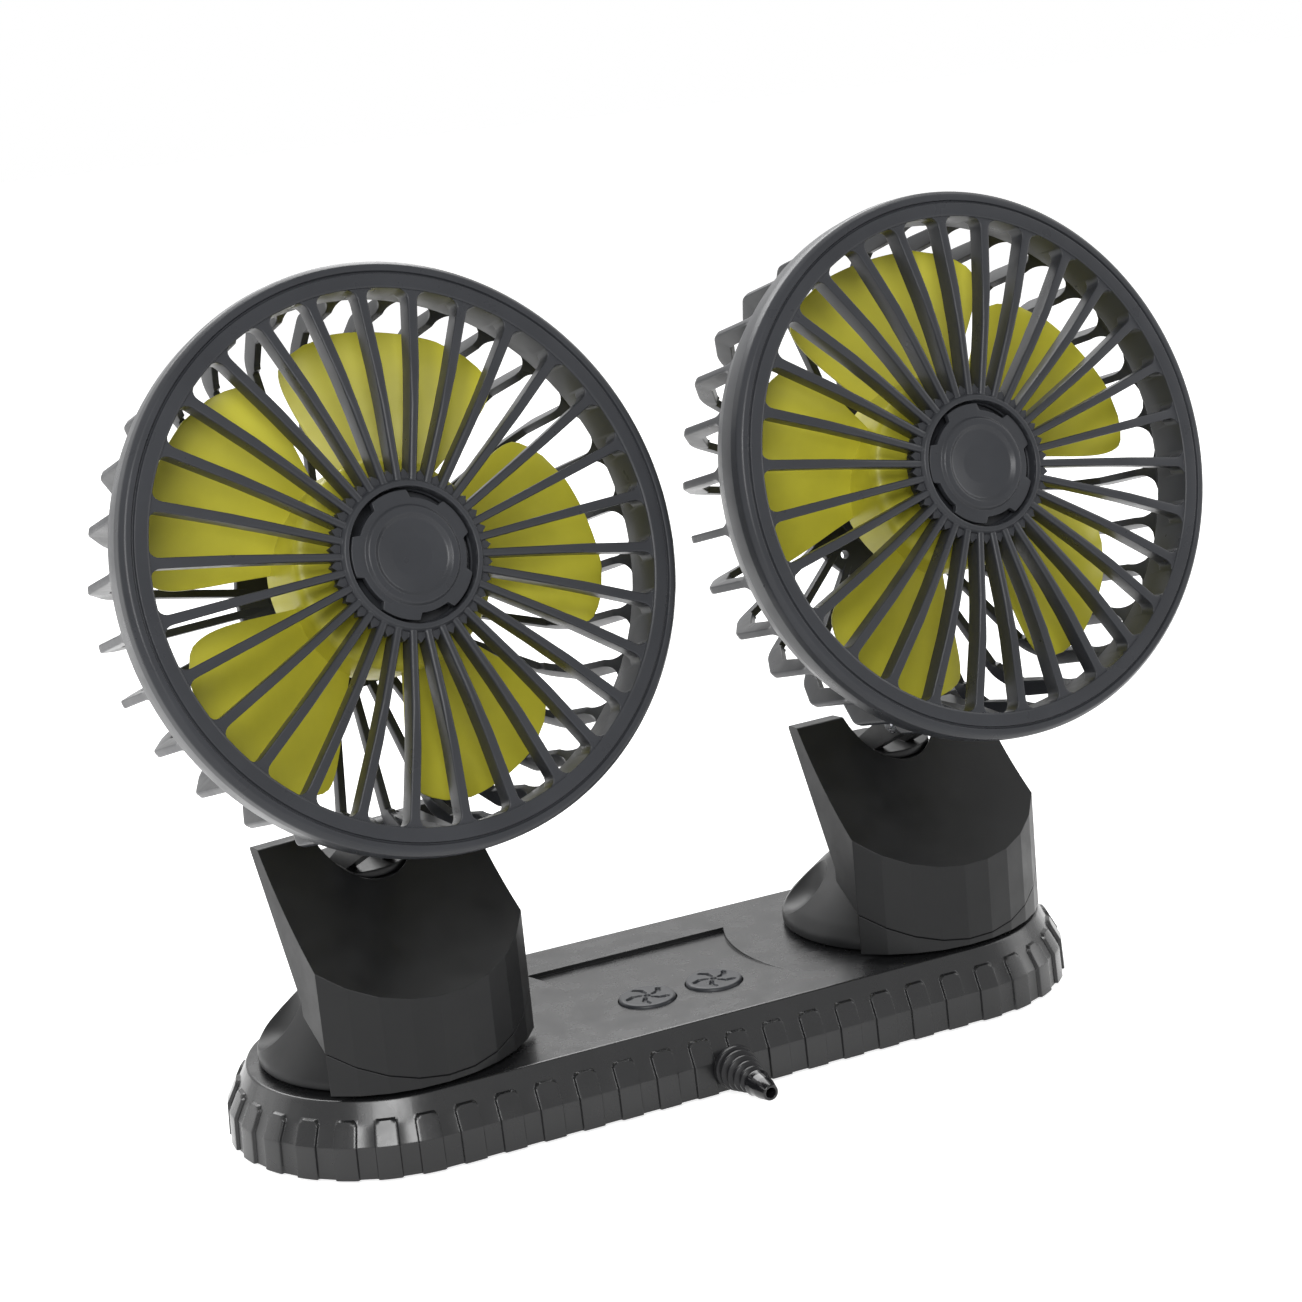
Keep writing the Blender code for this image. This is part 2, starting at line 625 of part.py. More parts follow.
def build_foot(name, frame, look):
    """The domed foot with its bearing collar, hollow stem, front pedestal and side dimples."""
    wall = FOOT_RADIUS - FOOT_FACE_PROUD
    dome = [(wall * share_r, FOOT_DOME_HEIGHT * share_z) for share_r, share_z in DOME_PROFILE_SHARES]
    collar = DECK_HEIGHT + GAP - frame_height()
    groove_top = DECK_HEIGHT - COVER_WALL - GAP - frame_height() - TRAY_DEPTH
    groove_low = groove_top - CLIP_THICKNESS - GAP
    profile = [
        (STEM_BORE, -STEM_DROP), (STEM_RADIUS, -STEM_DROP), (STEM_RADIUS, groove_low),
        (STEM_RADIUS - CLIP_GROOVE, groove_low), (STEM_RADIUS - CLIP_GROOVE, groove_top), (STEM_RADIUS, groove_top),
        (STEM_RADIUS, collar), (BEARING_RADIUS, collar), (BEARING_RADIUS, 0.0), (wall, 0.0),
    ] + dome
    profile.append((STEM_BORE, FOOT_DOME_HEIGHT))
    foot = add_object(name, turned(profile, FOOT_STEPS), look, frame)
    outline = arm_outline(ARM_HALF_WIDTH, ARM_RADIUS)
    low = [Vector((x, y, GAP)) for x, y in outline]
    high = [Vector((x, y, seam_height(y))) for x, y in outline]
    fuse(foot, loft([low, high]))
    reach = 2 * ARM_RADIUS
    wedge = [(-reach, seam_height(-reach)), (reach, seam_height(reach)), (-reach, seam_height(reach))]
    cut(foot, prism(wedge, -reach, reach, "x"))
    for side in (1.0, -1.0):
        ball = bmesh.new()
        bmesh.ops.create_uvsphere(ball, u_segments=PIN_STEPS, v_segments=PIN_STEPS // 2, radius=DIMPLE_RADIUS)
        ball.transform(Matrix.Translation((side * DIMPLE_SIDE, DIMPLE_BACK, DIMPLE_RISE)))
        cut(foot, ball)
        spot = (side * ARM_SCREW_SPREAD, -ARM_SCREW_FORWARD)
        cut(foot, disc(SCREW_HEAD_RADIUS + GAP, -OVERCUT, ARM_SCREW_SEAT, SCREW_STEPS, spot))
        cut(foot, disc(SCREW_RADIUS + GAP, -OVERCUT, FOOT_DOME_HEIGHT, SCREW_STEPS, spot))
    return foot


def frame_height():
    """Height of the foot's underside above the table."""
    return DECK_HEIGHT + RUN_GAP


def build_clip(name, frame, look):
    """The open spring ring that keeps the foot's stem under the deck."""
    top = DECK_HEIGHT - COVER_WALL - TRAY_DEPTH - 2 * GAP - frame_height()
    bore = STEM_RADIUS - CLIP_GROOVE + GAP
    clip = add_object(name, tube(bore + CLIP_WIDTH, bore, top - CLIP_THICKNESS + GAP, top, POST_STEPS), look, frame)
    opening = CLIP_OPENING / 2
    outline = [(-opening, 0.0), (opening, 0.0), (opening, 2 * STEM_RADIUS), (-opening, 2 * STEM_RADIUS)]
    cut(clip, prism(outline, top - CLIP_THICKNESS - OVERCUT, top + OVERCUT))
    return clip


def build_arm(name, frame, look):
    """The leaning, scooped arm over the foot, with the round post that seats the neck."""
    reach = 2 * ARM_RADIUS
    top = SCOOP_TOP_HEIGHT
    front = arm_outline(ARM_HALF_WIDTH, ARM_RADIUS)
    back = SCOOP_TOP_BACK + SLAB_THICKNESS + OVERCUT
    taper = (ARM_HALF_WIDTH - ARM_TOP_HALF_WIDTH)
    plan = [(-ARM_HALF_WIDTH + taper, back)] + front + [(ARM_HALF_WIDTH - taper, back)]
    body = prism(plan, 0.0, top + OVERCUT)
    arm = add_object(name, body, look, frame)
    scoop = scoop_curve()
    side_view = [(point[0], point[1]) for point in scoop]
    slab_back = SCOOP_TOP_BACK + SLAB_THICKNESS
    slab_foot = top - (slab_back + ARM_BACK) * math.tan(SLAB_BACK_SLOPE)
    side_view += [(slab_back, top), (-ARM_BACK, slab_foot), (-ARM_BACK, seam_height(-ARM_BACK, GAP))]
    side_view += [(-reach, seam_height(-reach, GAP)), (-reach, scoop[0][1])]
    keep(arm, prism(side_view, -reach, reach, "x"))
    seat = (0.0, NECK_SETBACK)
    fuse(arm, disc(NECK_POST_RADIUS, NECK_POST_FOOT, NECK_SEAT_HEIGHT, POST_STEPS, seat))
    notch = FLANGE_RADIUS + 4 * GAP
    cut(arm, disc(notch, NECK_SEAT_HEIGHT, top + 2 * OVERCUT, POST_STEPS, seat))
    cut(arm, disc(NECK_STEM_RADIUS + GAP, NECK_POST_FOOT - OVERCUT, NECK_SEAT_HEIGHT + OVERCUT, POST_STEPS, seat))
    pocket = NECK_SEAT_HEIGHT - NECK_FLOOR
    cut(arm, disc(WASHER_RADIUS + GAP, NECK_POST_FOOT - OVERCUT, pocket, POST_STEPS, seat))
    for side in (1.0, -1.0):
        spot = (side * ARM_SCREW_SPREAD, -ARM_SCREW_FORWARD)
        cut(arm, disc(SCREW_RADIUS + GAP, 0.0, ARM_SCREW_SEAT + ARM_SCREW_LENGTH + GAP, SCREW_STEPS, spot))
    return arm


def build_arm_screws(side_name, frame, look):
    """The two screws that draw the arm down onto the foot."""
    for side, end in ((-1.0, "a"), (1.0, "b")):
        shape = screw_shape(SCREW_RADIUS, SCREW_HEAD_RADIUS, ARM_SCREW_LENGTH, SCREW_HEAD_HEIGHT)
        screw = add_object(side_name + "_arm_screw_" + end, shape, look, frame)
        screw.location = (side * ARM_SCREW_SPREAD, -ARM_SCREW_FORWARD, ARM_SCREW_SEAT - GAP)


def build_neck(side_name, frame, look, steel):
    """The neck's flange, stem and ears, with the washer and screw that hold it to the arm."""
    name = side_name + "_neck"
    stem_foot = -NECK_FLOOR - GAP
    profile = (
        (0.0, stem_foot), (NECK_STEM_RADIUS, stem_foot), (NECK_STEM_RADIUS, GAP), (FLANGE_RADIUS, GAP),
        (FLANGE_RADIUS, FLANGE_THICKNESS), (0.0, FLANGE_THICKNESS),
    )
    neck = add_object(name, turned(profile, POST_STEPS), look, frame)
    inner = LUG_THICKNESS / 2 + GAP
    outer = inner + EAR_THICKNESS
    ear = []
    for k in range(POST_STEPS // 2 + 1):
        angle = math.pi * k / (POST_STEPS // 2) - math.radians(20.0)
        ear.append((-PIVOT_FORWARD - EAR_RADIUS * math.cos(angle), PIVOT_HEIGHT + EAR_RADIUS * math.sin(angle)))
    foot_back = EAR_RADIUS
    foot_front = -FLANGE_RADIUS + EAR_THICKNESS * 3
    ear += [(foot_back, FLANGE_THICKNESS / 2), (foot_front, FLANGE_THICKNESS / 2)]
    for side in (1.0, -1.0):
        fuse(neck, prism(ear, side * inner, side * outer, "x"))
    pin_hole = disc(PIN_RADIUS + GAP, -2 * outer, 2 * outer, PIN_STEPS)
    pin_hole.transform(Matrix.Translation((0.0, -PIVOT_FORWARD, PIVOT_HEIGHT)) @ Matrix.Rotation(math.pi / 2, 4, "Y"))
    cut(neck, pin_hole)
    cut(neck, disc(SCREW_RADIUS + GAP, stem_foot - OVERCUT, stem_foot + NECK_SCREW_LENGTH, SCREW_STEPS))
    washer_top = stem_foot - GAP
    washer = tube(WASHER_RADIUS, SCREW_RADIUS + GAP, washer_top - WASHER_THICKNESS, washer_top, PIN_STEPS)
    add_object(side_name + "_neck_washer", washer, steel, frame)
    shape = screw_shape(SCREW_RADIUS, SCREW_HEAD_RADIUS, NECK_SCREW_LENGTH, SCREW_HEAD_HEIGHT)
    screw = add_object(side_name + "_neck_screw", shape, steel, frame)
    screw.location = (0.0, 0.0, washer_top - WASHER_THICKNESS - GAP)
    return neck


def build_pin(side_name, frame, steel):
    """The tilt pin with its head, and the nut on its far end, through the ears and the head's lug."""
    grip = LUG_THICKNESS / 2 + GAP + EAR_THICKNESS + GAP
    pin_profile = (
        (0.0, -grip - 2 * PIN_HEAD_THICKNESS), (PIN_RADIUS, -grip - 2 * PIN_HEAD_THICKNESS), (PIN_RADIUS, grip),
        (PIN_HEAD_RADIUS, grip), (PIN_HEAD_RADIUS, grip + PIN_HEAD_THICKNESS), (0.0, grip + PIN_HEAD_THICKNESS),
    )
    pin = add_object(side_name + "_tilt_pin", turned(pin_profile, PIN_STEPS), steel, frame)
    pin.rotation_euler = (0.0, math.pi / 2, 0.0)
    nut = turned((
        (PIN_RADIUS + GAP, -grip - PIN_HEAD_THICKNESS * 1.5), (PIN_HEAD_RADIUS, -grip - PIN_HEAD_THICKNESS * 1.5),
        (PIN_HEAD_RADIUS, -grip), (PIN_RADIUS + GAP, -grip),
    ), 6)
    nut = add_object(side_name + "_tilt_nut", nut, steel, frame)
    nut.rotation_euler = (0.0, math.pi / 2, 0.0)


def rib_shape(outline, width, angle, shape):
    """A flat blade whose outline of (radius, depth) stands in a radial plane at an angle."""
    spin = Matrix.Rotation(angle, 3, "Z")
    rings = []
    for side in (-0.5, 0.5):
        ring = []
        for radius, depth, share in outline:
            ring.append(spin @ Vector((radius, side * width * share, -depth)))
        rings.append(ring)
    return loft(rings, shape)


def build_front_guard(name, frame, look):
    """The front guard: ring with groove and spigot, radial ribs, and the hub ring."""
    width = RING_RADIUS - RING_INNER
    profile = [(RING_INNER + width * a, -RING_DEPTH * b) for a, b in RING_PROFILE_SHARES]
    spigot = BAND_RADIUS - BAND_WALL - GAP
    profile += [(spigot, -RING_DEPTH), (spigot, -RING_DEPTH - SPIGOT_DEPTH),
                (RING_INNER, -RING_DEPTH - SPIGOT_DEPTH)]
    guard = add_object(name, turned(profile, RING_STEPS), look, frame)
    ribs = bmesh.new()
    hub_end = HUB_RING_RADIUS - (HUB_RING_RADIUS - HUB_RING_BORE) / 2
    ring_end = RING_INNER + width / 3
    knee = (hub_end + ring_end) / 2
    back_share = RIB_BACK_WIDTH / RIB_WIDTH
    outline = [
        (hub_end, RIB_RECESS, 1.0), (knee, RIB_RECESS - RIB_DOME / 2, 1.0), (ring_end, RIB_RECESS + GAP, 1.0),
        (ring_end, RIB_RECESS + RIB_DEPTH, back_share), (hub_end, RIB_RECESS + RIB_DEPTH, back_share),
    ]
    for k in range(RIB_COUNT):
        rib_shape(outline, RIB_WIDTH, RIB_TURN + math.tau * k / RIB_COUNT, ribs)
    fuse(guard, ribs)
    turn = RIB_TURN - math.pi / HUB_STEPS
    fuse(guard, tube(HUB_RING_RADIUS, HUB_RING_BORE, -HUB_RING_DEPTH, 0.0, HUB_STEPS, turn))
    return guard


def build_hub_cap(name, frame, look):
    """The dished cap in the hub ring, held by a lip behind it."""
    radius = HUB_RING_BORE - GAP
    rear = HUB_RING_DEPTH + GAP
    profile = (
        (0.0, -CAP_DISH_DEPTH), (CAP_DISH_RADIUS, -CAP_DISH_DEPTH), (CAP_DISH_RADIUS + CAP_DISH_DEPTH, 0.0),
        (radius - GAP, 0.0), (radius, -GAP), (radius, -rear), (radius + CAP_LIP, -rear),
        (radius + CAP_LIP, -rear - CAP_LIP_THICKNESS), (radius - CAP_LIP, -rear - CAP_LIP_THICKNESS),
        (radius - CAP_LIP, -CAP_THICKNESS), (0.0, -CAP_THICKNESS),
    )
    return add_object(name, turned(profile, CAP_STEPS), look, frame)


def rear_rib_path():
    """The outer edge of a rear rib from the band to the motor disc, as (radius, depth)."""
    outer_radius = BAND_RADIUS - BAND_TAPER
    path = [Vector((outer_radius - 2 * GAP, BAND_REAR - 2 * GAP))]
    path += [Vector((outer_radius * a, REAR_DEPTH * b)) for a, b in REAR_RIB_PATH_SHARES]
    path.append(Vector((REAR_DISC_RADIUS - REAR_DISC_THICKNESS, REAR_DEPTH - GAP)))
    return path


def rear_rib_outline():
    """A rear rib's side view: it rises from the band's wall and sinks into the motor disc's edge."""
    path = rear_rib_path()
    heights = [REAR_RIB_HEIGHT] * len(path)
    heights[0] = BAND_WALL - 4 * GAP
    heights[-1] = REAR_DISC_THICKNESS - 2 * GAP
    inner = []
    for k, point in enumerate(path):
        along = (path[min(k + 1, len(path) - 1)] - path[max(k - 1, 0)]).normalized()
        if k == 0:
            along = Vector((0.0, 1.0))
        if k == len(path) - 1:
            along = Vector((-1.0, 0.0))
        inner.append(point - heights[k] * Vector((along[1], -along[0])))
    return [(p[0], p[1], 1.0) for p in path + inner[::-1]]


def build_rear_shell(name, frame, look):
    """The rear shell: band, curved ribs, motor disc with vents, motor sleeve and tilt lug."""
    front = RING_DEPTH + GAP
    profile = (
        (BAND_RADIUS - BAND_WALL, -front), (BAND_RADIUS, -front), (BAND_RADIUS - BAND_TAPER, -BAND_REAR),
        (BAND_RADIUS - BAND_TAPER - BAND_WALL, -BAND_REAR), (BAND_RADIUS - BAND_WALL, -front - SPIGOT_DEPTH),
    )
    shell = add_object(name, turned(profile, RING_STEPS), look, frame)
    outer_radius = BAND_RADIUS - BAND_TAPER
    ribs = bmesh.new()
    for k in range(RIB_COUNT):
        rib_shape(rear_rib_outline(), REAR_RIB_WIDTH, RIB_TURN + math.tau * k / RIB_COUNT, ribs)
    fuse(shell, ribs)
    disc_front = -REAR_DEPTH + REAR_DISC_THICKNESS
    turn = RIB_TURN - math.pi / HUB_STEPS
    fuse(shell, disc(REAR_DISC_RADIUS, -REAR_DEPTH, disc_front, HUB_STEPS, (0.0, 0.0), turn))
    sleeve_bore = MOTOR_RADIUS + GAP
    fuse(shell, tube(sleeve_bore + MOTOR_SLEEVE_WALL, sleeve_bore, disc_front - REAR_DISC_THICKNESS / 2,
                     disc_front + MOTOR_LENGTH * MOTOR_SLEEVE_SHARE, MOTOR_STEPS))
    for k in range(VENT_COUNT):
        angle = math.tau * (k + 0.5) / VENT_COUNT
        spot = (VENT_CIRCLE * math.cos(angle), VENT_CIRCLE * math.sin(angle))
        cut(shell, disc(VENT_RADIUS, -REAR_DEPTH - OVERCUT, disc_front + OVERCUT, SCREW_STEPS, spot))
    for side in (1.0, -1.0):
        spot = (side * MOTOR_SCREW_CIRCLE, 0.0)
        cut(shell, disc(SCREW_RADIUS + GAP, -REAR_DEPTH - OVERCUT, disc_front + OVERCUT, SCREW_STEPS, spot))
    fuse(shell, lug_shape())
    pin_hole = disc(PIN_RADIUS + GAP, -LUG_THICKNESS, LUG_THICKNESS, PIN_STEPS)
    pin_hole.transform(Matrix.Translation((0.0, -PIVOT_DROP, -PIVOT_DEPTH)) @ Matrix.Rotation(math.pi / 2, 4, "Y"))
    cut(shell, pin_hole)
    return shell


def lug_shape():
    """The tab under the shell that the tilt pin passes through, as a plate across the head."""
    path = rear_rib_path()
    outline = []
    for k in range(POST_STEPS // 2 + 1):
        angle = math.pi * k / (POST_STEPS // 2) + math.radians(-30.0) + math.pi
        outline.append((-PIVOT_DROP + LUG_RADIUS * math.cos(angle + math.pi / 2),
                        -PIVOT_DEPTH + LUG_RADIUS * math.sin(angle + math.pi / 2)))
    corner = path[2]
    mouth = path[0]
    outline.append((-corner[0] + REAR_RIB_HEIGHT / 2, -corner[1] + REAR_RIB_HEIGHT))
    outline.append((-mouth[0] + BAND_WALL / 2, -mouth[1]))
    half = LUG_THICKNESS / 2
    return loft([[Vector((x, a, b)) for a, b in outline] for x in (-half, half)])


def build_motor(side_name, frame, look, steel):
    """The motor in its sleeve, with a bored nose for the shaft, and its two screws."""
    rear = -REAR_DEPTH + REAR_DISC_THICKNESS + GAP
    nose = rear + MOTOR_LENGTH
    bore = SHAFT_RADIUS + GAP
    blind = nose - MOTOR_LENGTH * SHAFT_IN_MOTOR_SHARE - GAP
    profile = (
        (0.0, rear), (MOTOR_RADIUS, rear), (MOTOR_RADIUS, nose),
        (MOTOR_NOSE_RADIUS, nose), (MOTOR_NOSE_RADIUS, nose + MOTOR_NOSE_LENGTH), (bore, nose + MOTOR_NOSE_LENGTH),
        (bore, blind), (0.0, blind),
    )
    motor = add_object(side_name + "_motor", turned(profile, MOTOR_STEPS), look, frame)
    for side, end in ((-1.0, "a"), (1.0, "b")):
        spot = (side * MOTOR_SCREW_CIRCLE, 0.0)
        depth = MOTOR_SCREW_LENGTH - REAR_DISC_THICKNESS
        cut(motor, disc(SCREW_RADIUS + GAP, rear - OVERCUT, rear + depth, SCREW_STEPS, spot))
        shape = screw_shape(SCREW_RADIUS, SCREW_HEAD_RADIUS, MOTOR_SCREW_LENGTH, SCREW_HEAD_HEIGHT)
        screw = add_object(side_name + "_motor_screw_" + end, shape, steel, frame)
        screw.location = (spot[0], 0.0, -REAR_DEPTH - GAP)
    return motor


def blade_shape(shape, angle):
    """One swept, pitched blade with a rounded tip, as a thin closed sheet."""
    sector = math.tau / BLADE_COUNT
    rows = []
    for (share, lead), (_, trail) in zip(BLADE_LEAD_SHARES, BLADE_TRAIL_SHARES):
        radius = max(BLADE_TIP_RADIUS * share, SPINNER_RADIUS - SPINNER_WALL / 2)
        row = []
        for j in range(BLADE_CHORD_STEPS + 1):
            turn = sector * (lead + (trail - lead) * j / BLADE_CHORD_STEPS)
            flat = radius * turn
            rise = -flat * math.tan(BLADE_PITCH) * (1 - share / 2)
            row.append((radius, angle + turn, rise))
        rows.append(row)
    layers = []
    for offset in (-0.5, 0.5):
        layer = []
        for row in rows:
            layer.append([
                shape.verts.new((
                    radius * math.cos(turn), radius * math.sin(turn),
                    -BLADE_MIDDLE + rise + offset * BLADE_THICKNESS,
                ))
                for radius, turn, rise in row
            ])
        layers.append(layer)
    low, high = layers
    last_row = len(BLADE_LEAD_SHARES) - 1
    last_col = BLADE_CHORD_STEPS
    for layer, flip in ((low, True), (high, False)):
        for i in range(last_row):
            for j in range(last_col):
                quad = (layer[i][j], layer[i + 1][j], layer[i + 1][j + 1], layer[i][j + 1])
                shape.faces.new(quad[::-1] if flip else quad)
    border = [(0, j) for j in range(last_col)] + [(i, last_col) for i in range(last_row)]
    border += [(last_row, j) for j in range(last_col, 0, -1)] + [(i, 0) for i in range(last_row, 0, -1)]
    for (i, j), (m, n) in zip(border, border[1:] + border[:1]):
        shape.faces.new((low[i][j], low[m][n], high[m][n], high[i][j]))
    return shape


def build_impeller(side_name, frame, look, steel):
    """The bladed impeller and the shaft that carries it."""
    back = SPINNER_FRONT + SPINNER_LENGTH
    inner = SPINNER_RADIUS - SPINNER_WALL
    bore = SHAFT_RADIUS + GAP
    blind = SPINNER_FRONT + SPINNER_WALL
    round_off = SPINNER_WALL
    profile = (
        (0.0, -SPINNER_FRONT), (SPINNER_RADIUS - 2 * round_off, -SPINNER_FRONT),
        (SPINNER_RADIUS, -SPINNER_FRONT - 2 * round_off), (SPINNER_RADIUS, -back), (inner, -back),
        (inner, -blind - SPINNER_GRIP), (bore, -blind - SPINNER_GRIP), (bore, -blind), (0.0, -blind),
    )
    impeller = add_object(side_name + "_impeller", turned(profile, SPINNER_STEPS), look, frame)
    blades = bmesh.new()
    for k in range(BLADE_COUNT):
        blade_shape(blades, math.tau * k / BLADE_COUNT)
    fuse(impeller, blades)
    nose = -REAR_DEPTH + REAR_DISC_THICKNESS + GAP + MOTOR_LENGTH
    shaft = disc(SHAFT_RADIUS, nose - MOTOR_LENGTH * SHAFT_IN_MOTOR_SHARE, -blind - GAP, PIN_STEPS)
    add_object(side_name + "_motor_shaft", shaft, steel, frame)
    return impeller


def build_side(side_name, looks):
    """One arm with its neck, head and impeller, each on the frame of its joint."""
    side = SIDES[side_name]
    arm_frame = add_empty(
        side_name + "_arm_frame", None, (side["sign"] * SWIVEL_PITCH / 2, 0.0, frame_height()), (0.0, 0.0, side["arm"])
    )
    build_foot(side_name + "_foot", arm_frame, looks["plastic"])
    build_clip(side_name + "_foot_clip", arm_frame, looks["steel"])
    build_arm(side_name + "_arm", arm_frame, looks["plastic"])
    build_arm_screws(side_name, arm_frame, looks["steel"])
    neck_frame = add_empty(
        side_name + "_neck_frame", arm_frame, (0.0, NECK_SETBACK, NECK_SEAT_HEIGHT), (0.0, 0.0, side["yaw"] - side["arm"])
    )
    build_neck(side_name, neck_frame, looks["plastic"], looks["steel"])
    tilt_frame = add_empty(
        side_name + "_tilt_frame", neck_frame, (0.0, -PIVOT_FORWARD, PIVOT_HEIGHT), (-side["tilt"], 0.0, 0.0)
    )
    build_pin(side_name, tilt_frame, looks["steel"])
    fan_frame = add_empty(
        side_name + "_fan_frame", tilt_frame, (0.0, -PIVOT_DEPTH, PIVOT_DROP), (math.pi / 2, 0.0, 0.0)
    )
    build_front_guard(side_name + "_front_guard", fan_frame, looks["plastic"])
    build_hub_cap(side_name + "_hub_cap", fan_frame, looks["plastic"])
    build_rear_shell(side_name + "_rear_shell", fan_frame, looks["plastic"])
    build_motor(side_name, fan_frame, looks["steel"], looks["steel"])
    spin_frame = add_empty(side_name + "_spin_frame", fan_frame, (0.0, 0.0, 0.0), (0.0, 0.0, side["spin"]))
    build_impeller(side_name, spin_frame, looks["olive"], looks["steel"])


def main():
    """Builds the whole fan."""
    clear_scene()
    looks = {
        "plastic": material("charcoal_plastic", PLASTIC, 0.45),
        "dark": material("dark_plastic", DARK_PLASTIC, 0.35),
        "olive": material("olive_plastic", OLIVE, 0.40),
        "steel": material("steel", STEEL, 0.30, 1.0),
        "rubber": material("rubber", RUBBER, 0.80),
        "board": material("board", BOARD_GREEN, 0.50),
    }
    build_cover(looks["plastic"])
    build_floor(looks["dark"], looks["rubber"], looks["steel"])
    build_board(looks["board"], looks["dark"])
    build_button("left_button", -1.0, looks["plastic"])
    build_button("right_button", 1.0, looks["plastic"])
    build_relief(looks["dark"])
    for side_name in SIDES:
        build_side(side_name, looks)


main()
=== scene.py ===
"""Looks of the twin car fan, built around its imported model.

Metres, +Z up, front towards -Y. Each piece is made in the frame of the joint that carries it.
"""

import json
import math

import bmesh
import bpy
from mathutils import Matrix, Vector


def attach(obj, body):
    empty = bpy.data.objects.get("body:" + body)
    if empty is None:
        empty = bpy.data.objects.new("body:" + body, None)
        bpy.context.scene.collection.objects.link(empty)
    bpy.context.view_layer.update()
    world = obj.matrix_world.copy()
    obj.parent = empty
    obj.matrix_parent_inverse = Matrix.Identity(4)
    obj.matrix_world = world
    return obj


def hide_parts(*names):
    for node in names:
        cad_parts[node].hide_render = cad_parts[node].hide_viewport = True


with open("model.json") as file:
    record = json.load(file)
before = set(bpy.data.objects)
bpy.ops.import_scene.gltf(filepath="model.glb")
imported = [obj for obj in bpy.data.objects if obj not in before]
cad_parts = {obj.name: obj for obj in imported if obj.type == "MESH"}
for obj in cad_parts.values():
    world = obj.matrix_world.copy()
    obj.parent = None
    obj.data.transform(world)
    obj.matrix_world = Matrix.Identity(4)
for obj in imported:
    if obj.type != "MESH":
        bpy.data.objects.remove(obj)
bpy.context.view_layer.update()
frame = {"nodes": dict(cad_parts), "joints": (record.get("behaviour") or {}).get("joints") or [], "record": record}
JOINTS = {joint["name"]: joint for joint in frame["joints"]}
MM = 0.001
OVERRUN = 2 * MM

# Base
PITCH = 0.138
FLOOR_RADIUS = 0.0388
RIDGE_RADIUS = 0.0384
RIDGE_HEIGHT = 0.0083
DECK_RADIUS = 0.0336
DECK_HEIGHT = 0.0174
COVER_WALL = 0.0020
COVER_FOOT = 0.0010
GRIP_COUNT = 54
GRIP_HEIGHT = 0.0007
GRIP_WIDTH_SHARE = 0.56
GRIP_CLIMB_SHARE = 0.58
GRIP_CORNER = 0.0014
GRIP_EDGE = 0.00035
GRIP_RISE_SHARE = 0.35
RIDGE_ROUNDING = 0.9 * MM
DECK_ROUNDING = 0.7 * MM
DECK_BORDER = 3 * MM
PROFILE_STEP = 0.45 * MM
TRAY_ARC_RADIUS = 0.0460
TRAY_REAR = 0.0190
TRAY_FRONT = -0.0180
TRAY_DEPTH = 0.0011
BUTTON_SPACING = 0.0176
BUTTON_Y = -0.0132
BUTTON_RADIUS = 0.0068
BUTTON_RISE = 0.7 * MM
BUTTON_FOOT_DEPTH = 2.8 * MM
BUTTON_DOT_RADIUS = 0.75 * MM
BUTTON_EDGE = 0.7 * MM
BUTTON_EDGE_DROP = 0.45 * MM
BAR_COUNT = 5
BAR_START = math.radians(14.0)
BAR_SINK = 0.55 * MM
BAR_FLANK = 0.16 * MM
STEM_RADIUS = 0.0100
RELIEF_HEIGHT = 0.0070
RELIEF_BORE = 1.3 * MM
RELIEF_COLLAR = 5.2 * MM
RELIEF_RIB_COUNT = 4
RELIEF_RIB_PITCH = 2.2 * MM
RELIEF_SLEEVE_LENGTH = 11.2 * MM

# Foot and arm
FOOT_RADIUS = 0.0315
FOOT_DOME_HEIGHT = 0.0225
FOOT_FACE_PROUD = 0.0008
FOOT_HOLLOW_RADIUS = 16.0 * MM
FOOT_BORE = 6.5 * MM
FOOT_SEAT_DEPTH = 0.7 * MM
DIMPLE_RADIUS = 11.0 * MM
DIMPLE_SPREAD = 27.0 * MM
DIMPLE_BACK = 12.0 * MM
DIMPLE_RISE = 13.5 * MM
DOME_SHARES = ((1.00, 0.09), (0.95, 0.20), (0.84, 0.35), (0.66, 0.58), (0.45, 0.82), (0.28, 1.00))
ARM_YAW = {"left": math.radians(10.0), "right": math.radians(4.0)}
ARM_RADIUS = 0.0340
ARM_HALF_WIDTH = 0.0266
ARM_TOP_HALF_WIDTH = 0.0262
ARM_BACK = 0.0120
SEAM_FRONT_HEIGHT = 0.0015
SEAM_SLOPE = math.radians(34.0)
SCOOP_FRONT_HEIGHT = 0.0205
SCOOP_FRONT_SLOPE = math.radians(30.0)
SCOOP_TOP_HEIGHT = 0.0528
SCOOP_TOP_BACK = 0.0010
SLAB_THICKNESS = 0.0045
SLAB_BACK_SLOPE = math.radians(62.0)
NECK_SETBACK = 0.0055
NECK_SEAT_HEIGHT = 0.0412
NECK_POST_RADIUS = 0.0134
NECK_POST_FOOT = 0.0245
NECK_POST_BORE = 5.3 * MM
NECK_STEM_RADIUS = 5.0 * MM
NECK_STEM_LENGTH = 5.0 * MM
FLANGE_RADIUS = 0.0124
FLANGE_THICKNESS = 0.0022
PIVOT_FORWARD = 0.0185
PIVOT_HEIGHT = 0.0120
EAR_RADIUS = 0.0045
EAR_THICKNESS = 0.0026
LUG_THICKNESS = 0.0060
LUG_RADIUS = 0.0042
PIN_RADIUS = 0.0015

